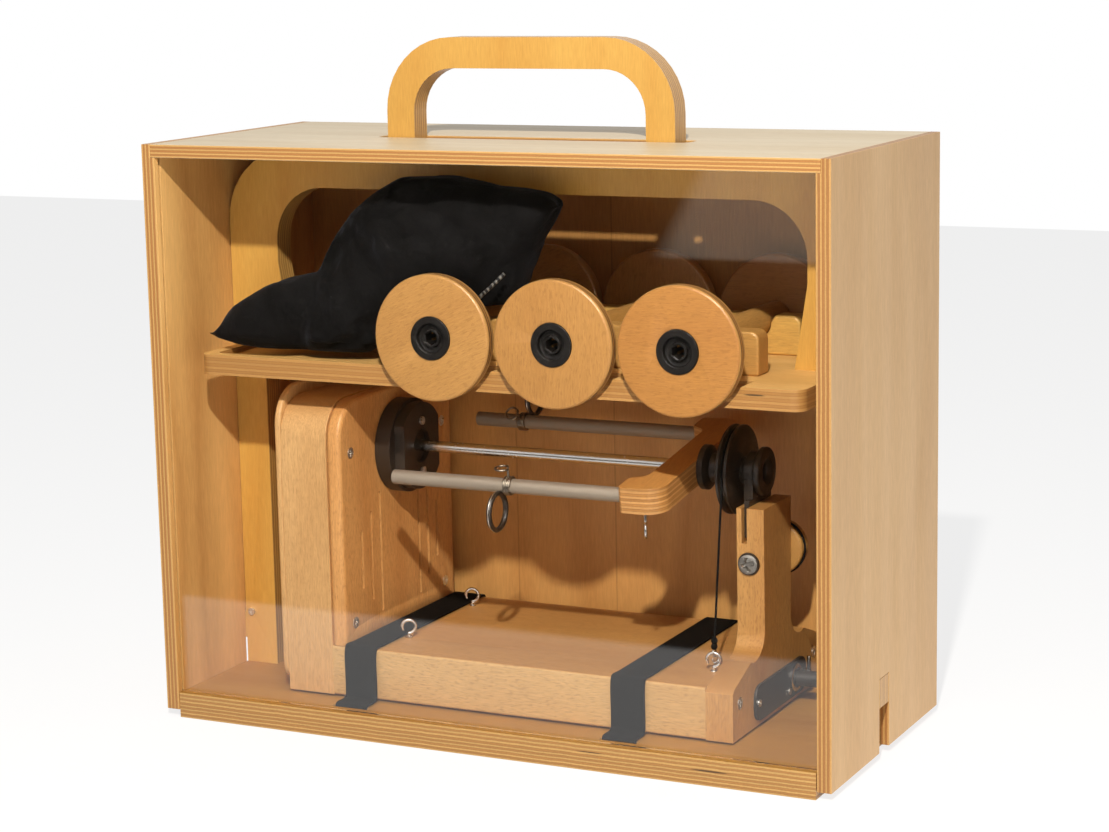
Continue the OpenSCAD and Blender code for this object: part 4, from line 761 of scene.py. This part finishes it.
def band(name, line, x0, width, thick):
    """Flat band along the (y, z) line: its section has flat sides and half-round ends, and is wide in X."""
    p = np.asarray(line, float)
    t = np.gradient(p, axis=0)
    t /= np.linalg.norm(t, axis=1, keepdims=True)
    nrm = np.stack([t[:, 1], -t[:, 0]], -1)
    h, w = thick / 2, width / 2
    end_mids = np.array([w - h] * 4 + [h - w] * 4)
    turn = np.radians([-90, -30, 30, 90, 90, 150, 210, 270])
    sx, sn = end_mids + h * np.cos(turn), h * np.sin(turn)
    mids = np.linspace(w - h, h - w, 9)[1:-1]
    sx = np.concatenate([sx[:4], mids, sx[4:], mids[::-1]])
    sn = np.concatenate([sn[:4], np.full(7, h), sn[4:], np.full(7, -h)])
    P = np.stack([np.broadcast_to(x0 + w + sx, (len(p), len(sx))), p[:, None, 0] + sn * nrm[:, None, 0],
                  p[:, None, 1] + sn * nrm[:, None, 1]], -1)
    run = 1000 * np.concatenate([[0], np.cumsum(np.linalg.norm(np.diff(p, axis=0), axis=1))])
    uv = np.stack([np.broadcast_to(run[:, None], P.shape[:2]), np.broadcast_to(sx * 1000, P.shape[:2])], -1)
    return point_grid(name, P, wrap_v=True, cap=True, uv=uv)


WEBBING_T = 0.0017
top = deck_z + 0.0012
foot_y, tail_y = body_y - 0.0179, body_rear + 0.0039
for node in ("strap_left", "strap_right"):
    lo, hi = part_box(node)
    line = smooth_line([[foot_y, 0.0025], [foot_y, 0.010], [foot_y + 0.0001, 0.0160],
                        [foot_y + 0.0010, 0.0188], [foot_y + 0.0035, 0.0197], [foot_y + 0.0090, 0.0196],
                        [body_y - 0.0052, 0.0199], [body_y - 0.0034, 0.0212], [body_y - 0.0028, 0.0240],
                        [body_y - 0.0027, 0.0340], [body_y - 0.0030, deck_z - 0.010],
                        [body_y - 0.0026, deck_z - 0.0030], [body_y - 0.0008, deck_z + 0.0012],
                        [body_y + 0.0030, top + 0.0004], [body_y + 0.009, top], [body_y + 0.02, top],
                        [AXIS_Y, top], [body_rear - 0.02, top], [body_rear - 0.0030, top],
                        [body_rear, deck_z - 0.0003], [body_rear + 0.0018, deck_z - 0.0055],
                        [tail_y, 0.022], [tail_y, 0.012], [tail_y, 0.0025]], 260)
    under = [[tail_y - 0.001, 0.0018], [foot_y + 0.001, 0.0018]]
    ring = np.concatenate([line, smooth_line(under, 30)])
    place(band(node + "_web", ring, lo[0], hi[0] - lo[0], WEBBING_T), webbing, "base", node)
print("straps done")

# %% [markdown]
# The bag is soft velvet. It has a low lobe on the left with a pointed tip and a tall lobe on the right that
# leans over the first bobbin. At each place along X a ring of points stands up between the outline's lower
# and upper line, and its depth swells where the bag is tall. The ring is a superellipse: y = w * sign(cos
# a) * |cos a| ** 0.75, and z likewise with the power 0.9, which is fuller than an ellipse. Lengths in this
# cell are millimetres.
# %% Bag
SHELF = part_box("shelf")[1][2]
bag_lo, bag_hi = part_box("storage_bag")
BAG_LEFT, BAG_RIGHT = -221.5, 32.4
tops = np.array([[BAG_LEFT, 12.5], [-216, 15.2], [-212, 18.5], [-209.5, 25], [-203, 32], [-192, 40],
                 [-178, 46.5], [-163, 51.5], [-150, 54], [-140, 55], [-134, 63], [-128, 75], [-118, 89],
                 [-104, 102], [-91, 112], [-78, 120], [-58, 123.4], [-38, 120], [-10, 115], [17, 114],
                 [27, 113], [BAG_RIGHT, 106]], float)
lows = np.array([[BAG_LEFT, 9.6], [-216, 8.6], [-208, 6.0], [-198, 3.4], [-185, 1.4], [-170, 0.7],
                 [-150, 0.6], [-104, 0.9], [-98, 4], [-88, 33], [-80, 36.5], [-60, 36.5], [-10, 36.5],
                 [2, 37], [8, 57], [14, 75], [23, 88], [BAG_RIGHT, 103.5]], float)


def bag_shell(nu=150, nv=72):
    """Rings of points along X, between the lower and the upper outline, with soft folds."""
    x = np.linspace(BAG_LEFT, BAG_RIGHT, nu)
    hi = np.interp(x, tops[:, 0], tops[:, 1])
    lo = np.interp(x, lows[:, 0], lows[:, 1])
    soft = np.exp(-0.5 * (np.arange(-6, 7) / 2.2) ** 2)
    pad = lambda v: np.convolve(np.pad(v, 6, "edge"), soft / soft.sum(), "valid")
    hi, lo = np.minimum(pad(hi), hi + 0.4), np.maximum(pad(lo), lo - 0.2)
    ends = np.clip(np.minimum((x + 222.5) / 34, (34 - x) / 26), 0.02, 1) ** 0.55
    depth = 29.0 * ends * (0.72 + 0.28 * np.clip((hi - lo) / 80, 0, 1))
    a = np.linspace(0, 2 * pi, nv, endpoint=False)
    sy = np.sign(np.cos(a)) * np.abs(np.cos(a)) ** 0.75
    sz = np.sign(np.sin(a)) * np.abs(np.sin(a)) ** 0.9
    mid, half = (hi + lo) / 2, (hi - lo) / 2
    forward = np.clip((-160 - x) / 61.5, 0, 1)
    Y = (-47.4 - 17.6 * forward)[:, None] + (depth * (1 - 0.3 * forward))[:, None] * sy
    Z = mid[:, None] + half[:, None] * sz
    X = np.broadcast_to(x[:, None], Y.shape).copy()
    X += 0.12 * (Z - 60) * np.clip((x[:, None] + 60) / 90, 0, 1) * (np.cos(a) ** 2)
    u, v = X / 60.0, Z / 45.0
    folds = (2.4 * np.sin(3.1 * u + 2.0 * v + 0.6) * np.sin(1.3 * v + 0.9 * u)
             + 1.6 * np.sin(5.3 * u - 3.7 * v + 1.1) + 1.1 * np.sin(8.9 * u + 4.9 * v + np.sin(3 * v)))
    ridge = 8.0 * np.exp(-((X + 139 - 0.35 * (Z - 40)) / 8.0) ** 2)
    inward = (folds - 2.2 - ridge) * np.abs(np.cos(a)) ** 0.6 * ends[:, None]
    Y += np.sign(np.cos(a)) * np.minimum(inward, 0.3)
    Z += -0.6 * np.abs(folds) * np.clip(np.sin(a), 0, 1) * ends[:, None]
    return np.stack([X, Y, Z + SHELF * 1000], -1) / 1000.0


velvet, nt, b = finish("velvet", Base_Color=srgb(14, 12, 11), Roughness=0.9, Sheen_Weight=0.12,
                       Sheen_Roughness=0.3)
tc = nt.nodes.new("ShaderNodeTexCoord").outputs["Object"]
nap = add(nt, "TexNoise", {"Vector": tc, "Scale": 26.0, "Detail": 5.0, "Roughness": 0.65, "Distortion": 0.8})
pile = add(nt, "TexNoise", {"Vector": tc, "Scale": 1800.0, "Detail": 2.0})
nt.links.new(steps_ramp(nt, nap, [(0.3, srgb(5, 4, 3)), (0.75, srgb(23, 22, 22))]), b.inputs["Base Color"])
b.inputs["Sheen Tint"].default_value = srgb(190, 196, 215)
b.inputs["Specular IOR Level"].default_value = 0.08
crease = add(nt, "Bump", {"Height": nap, "Strength": 0.5, "Distance": 0.004})
soft_pile = add(nt, "Bump", {"Height": pile, "Strength": 0.5, "Distance": 0.0006, "Normal": crease})
nt.links.new(soft_pile, b.inputs["Normal"])
bag = point_grid("bag_shell", bag_shell(), wrap_v=True, cap=True)
bpy.context.scene.collection.objects.link(bag)
print("bag shell", len(bag.data.vertices), "points")

# %% [markdown]
# The shell gets its natural creases from a short cloth simulation. It is remeshed evenly, swells under a
# small pressure for twenty frames, and no point may move further than 5.5 mm. The result becomes the mesh
# itself. A cord lies on the bag's right side: a tube along a curve through four points.
# %% Bag simulation
def swell(obj, voxel=0.0033, frames=20, cap=0.0055):
    """Cloth a little too large for its shape, under light pressure; each point's move is cut to the cap."""
    scene = bpy.context.scene
    remesh = obj.modifiers.new("even", "REMESH")
    remesh.mode, remesh.voxel_size = "VOXEL", voxel
    dg = bpy.context.evaluated_depsgraph_get()
    even = bpy.data.meshes.new_from_object(obj.evaluated_get(dg))
    obj.modifiers.remove(remesh)
    obj.data = even
    rest = np.zeros(len(even.vertices) * 3)
    even.vertices.foreach_get("co", rest)
    cloth = obj.modifiers.new("cloth", "CLOTH")
    st = cloth.settings
    st.use_pressure, st.uniform_pressure_force = True, 1.2
    st.shrink_min = -0.10
    st.effector_weights.gravity = 0.0
    st.quality, st.mass = 6, 0.25
    st.tension_stiffness, st.shear_stiffness, st.bending_stiffness = 14.0, 5.0, 0.25
    for f in range(1, frames + 1):
        scene.frame_set(f)
    dg = bpy.context.evaluated_depsgraph_get()
    done = bpy.data.meshes.new_from_object(obj.evaluated_get(dg))
    obj.modifiers.remove(cloth)
    scene.frame_set(1)
    new = np.zeros(len(done.vertices) * 3)
    done.vertices.foreach_get("co", new)
    rest, new = rest.reshape(-1, 3), new.reshape(-1, 3)
    move = new - rest
    size = np.linalg.norm(move, axis=1, keepdims=True)
    move *= np.minimum(1.0, cap / np.maximum(size, 1e-9))
    new = rest + move
    new[:, 1] = np.clip(new[:, 1], bag_lo[1] + 0.0002, bag_hi[1] - 0.0002)
    new[:, 2] = np.minimum(new[:, 2], bag_hi[2] - 0.0003)
    new[:, 2] = np.maximum(new[:, 2], np.where(rest[:, 2] < SHELF + 0.012, rest[:, 2], SHELF + 0.0005))
    done.vertices.foreach_set("co", new.ravel())
    obj.data = done
    return float(size.max())


print("bag swelled by up to", round(swell(bag) * 1000, 1), "mm")
place(bag, velvet, "base", "storage_bag")
soft = bag.modifiers.new("soft", "SUBSURF")
soft.levels = soft.render_levels = 1
pull = smooth_line([[-0.0175, -0.0772, 0.2975], [-0.006, -0.0779, 0.3065], [0.004, -0.0774, 0.3150],
                    [0.0115, -0.0752, 0.3225]], 40)
nylon, nt, b = finish("cord_nylon", Roughness=0.3)
tc = nt.nodes.new("ShaderNodeTexCoord").outputs["Object"]
twist = add(nt, "TexWave", {"Vector": tc, "Scale": 110.0, "Distortion": 7.0, "Detail": 3.0}, out=1,
            bands_direction="DIAGONAL")
# Painted highlights: the pale stripes along the twist stand for glints on the dark nylon.
strand_glints = steps_ramp(nt, twist, [(0.35, srgb(20, 18, 17)), (0.85, srgb(118, 114, 106))])
nt.links.new(strand_glints, b.inputs["Base Color"])
roughen(nt, b, twist, 0.6, 0.0004)
place(wire("bag_cord", pull, 0.0013, (0, 1, 0.1)), nylon, "base")
print("bag done")

# %% [markdown]
# Small fittings keep the CAD's shape and get bright zinc or steel with finely broken edges. The clamp screw
# shows a domed head with a sunk cross in a black ring. The controls sit on a dark grey plate: a
# barrel-shaped knob with a steel ring round its foot, and a slim lever.
# %% Fittings and controls
for n in ("frame_screws", "upright_screws", "panel_screws", "housing_screws", "hub_screws"):
    eased(n, ZINC, 0.00015, 2, angle=50)


def pan_head(name, centre, radius, height, cross, n=96, m=30):
    """Domed head facing -Y: height falls as 1 - 0.35 (r / R) ** 3, and a tapered cross is sunk into it."""
    k = np.linspace(0, 2 * pi, n, endpoint=False)
    r = np.linspace(0.02, 1.0, m)[:, None] * radius
    x, z = r * np.cos(k), r * np.sin(k)
    lean = radians(18)
    dome = height * (1 - 0.35 * (r / radius) ** 3)
    arm = np.minimum(np.abs(x * cos(lean) + z * sin(lean)), np.abs(z * cos(lean) - x * sin(lean)))
    slot = np.clip((cross * 0.30 - arm) / (cross * 0.10), 0, 1) * np.clip((cross - r) / (cross * 0.3), 0, 1)
    h = dome - 0.85 * height * slot
    P = np.stack([centre[0] + x, centre[1] - h, centre[2] + z], -1)
    skirt = P[-1:].copy()
    skirt[..., 1] = centre[1]
    return point_grid(name, np.concatenate([P, skirt]), wrap_v=True, cap=True)


lo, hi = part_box("clamp_screw")
cx, cz = (lo[0] + hi[0]) / 2, (lo[2] + hi[2]) / 2
GREY = metal("dull_steel", (0.30, 0.28, 0.25, 1.0), 0.42)
face = AXIS_Y - 0.025
head = pan_head("head", (cx, face - 0.0006, cz), 0.0066, 0.0024, 0.0048)
shank = turned("shank", [(0.0, 0.0005), (0.0, 0.003), (hi[1] - face, 0.003), (hi[1] - face, 0.0005)],
               (cx, face, cz), (0, 1, 0), 40)
place(joined("clamp_bolt", [head, shank]), GREY, "base", "clamp_screw", sharp=35)
washer = [(-0.0004, 0.0064), (-0.0012, 0.0066), (-0.0012, 0.0074), (-0.0004, 0.0078), (0.0, 0.0078),
          (0.0, 0.0064)]
place(turned("clamp_ring", washer, (cx, face, cz), (0, 1, 0)), BLACK, "base", sharp=35)
eased("control_panel", plastic("panel_grey", srgb(34, 27, 18), 0.5), 0.0003)
eased("speed_knob", plastic("knob_grey", srgb(44, 39, 34), 0.42), 0.0004)
eased("direction_lever", STEEL, 0.0002)
eased("circuit_board", plastic("board_green", srgb(30, 74, 48), 0.5), 0.0001)
eased("bearing_carrier", ZINC, 0.0004)
eased("hub_bearings", STEEL, 0.0002)
eased("motor", plastic("motor_black", srgb(50, 50, 54), 0.4), 0.0008)
eased("motor_bracket", ZINC, 0.0003)
eased("motor_pulley", ZINC, 0.0002)
eased("drive_belt", RUBBER, 0.0002)
lo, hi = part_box("speed_knob")
ky, kz = (lo[1] + hi[1]) / 2, (lo[2] + hi[2]) / 2
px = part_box("control_panel")[1][0]
ring = [(0.0002, 0.0070), (0.0002, 0.0094), (0.0012, 0.0096), (0.0019, 0.0090), (0.0019, 0.0070)]
place(turned("knob_ring", ring, (px, ky, kz), (1, 0, 0)), STEEL, "base", sharp=40)
print("fittings done")

# %% [markdown]
# The table is a plain pale plane. For the camera it is nearly white and only the soft shadow darkens it. In
# the clear window and in bright metal it shows a white strip up to its front edge, then a dark floor, and
# far in front of the case a warm bright part with a slanting left edge. These exist for mirrored rays only.
# Bounced light sees a pale warm floor, with a brighter patch beside the case's right end. One small bright
# lamp stands nearly above the camera, and a dim even room fills the shadows.
# %% Table, world and light
table, nt, b = finish("table", Base_Color=grey(0.8), Roughness=0.6)
floor = point_grid("table", np.array([[[x, y, 0.0] for y in (-7.0, 3.0)] for x in (-5.0, 5.0)]))
bpy.context.scene.collection.objects.link(floor)
floor.data.materials.append(table)
path = nt.nodes.new("ShaderNodeLightPath")
xyz = add(nt, "SeparateXYZ", {0: nt.nodes.new("ShaderNodeTexCoord").outputs["Object"]})
x, y = xyz.node.outputs[0], xyz.node.outputs[1]
TABLE_EDGE_Y, FAR_FLOOR_Y = -0.400, -2.60
strip = remap(nt, y, TABLE_EDGE_Y, TABLE_EDGE_Y + 0.015, 0.0, 1.0)
far = remap(nt, y, FAR_FLOOR_Y, FAR_FLOOR_Y - 0.06, 0.0, 1.0)
side = sums(nt, "ADD", x, sums(nt, "MULTIPLY", sums(nt, "ADD", y, 2.618), -0.37))
side = remap(nt, side, -1.0, -0.96, 0.0, 1.0)
warm = sums(nt, "MULTIPLY", far, side)
seen = blend_colour(nt, warm, (0.015, 0.013, 0.010, 1.0), (0.9, 0.8, 0.65, 1.0))
seen = blend_colour(nt, strip, seen, grey(1.0))
mirror = add(nt, "Emission", {"Color": seen, "Strength": 1.0})
glow = add(nt, "Emission", {"Color": grey(1.0), "Strength": 0.78})
matte = add(nt, "BsdfDiffuse", {"Color": grey(0.24)})
for_camera = nt.nodes.new("ShaderNodeAddShader")
nt.links.new(glow, for_camera.inputs[0])
nt.links.new(matte, for_camera.inputs[1])
bounce = add(nt, "BsdfDiffuse", {"Color": (0.84, 0.81, 0.76, 1.0)})
seen_directly = sums(nt, "MAXIMUM", path.outputs["Is Camera Ray"], path.outputs["Is Transmission Ray"])
near_side = remap(nt, x, 0.45, 0.65, 0.8, 0.0)
beside = remap(nt, x, 0.24, 0.25, 0.0, 1.0)
near_side = sums(nt, "MULTIPLY", near_side, beside)
spill = add(nt, "Emission", {"Color": (1.0, 0.98, 0.94, 1.0), "Strength": near_side})
lit_floor = nt.nodes.new("ShaderNodeAddShader")
nt.links.new(bounce, lit_floor.inputs[0])
nt.links.new(spill, lit_floor.inputs[1])
plain = add(nt, "MixShader", {0: seen_directly, 1: lit_floor.outputs[0], 2: for_camera.outputs[0]})
final = add(nt, "MixShader", {0: path.outputs["Is Glossy Ray"], 1: plain, 2: mirror})
nt.links.new(final, nt.nodes["Material Output"].inputs["Surface"])
world = bpy.data.worlds.new("world")
bpy.context.scene.world = world
world.use_nodes = True
wt = world.node_tree
path = wt.nodes.new("ShaderNodeLightPath")
seen = sums(wt, "MAXIMUM", path.outputs["Is Camera Ray"], path.outputs["Is Glossy Ray"])
seen = sums(wt, "MAXIMUM", seen, path.outputs["Is Transmission Ray"])
back = wt.nodes["Background"]
wt.links.new(blend_colour(wt, seen, (0.28, 0.28, 0.28, 1.0), grey(1.0)), back.inputs["Color"])
back.inputs["Strength"].default_value = 1.0
LAMP_AT, LAMP_WATTS, LAMP_RADIUS = (0.645, -1.479, 1.454), 182.0, 0.03
key_data = bpy.data.lights.new("key", "POINT")
key_data.energy, key_data.shadow_soft_size, key_data.color = LAMP_WATTS, LAMP_RADIUS, (1.0, 0.965, 0.91)
key = bpy.data.objects.new("key", key_data)
key.location = LAMP_AT
bpy.context.scene.collection.objects.link(key)
bpy.context.scene.view_settings.view_transform = "Standard"
print("light done")
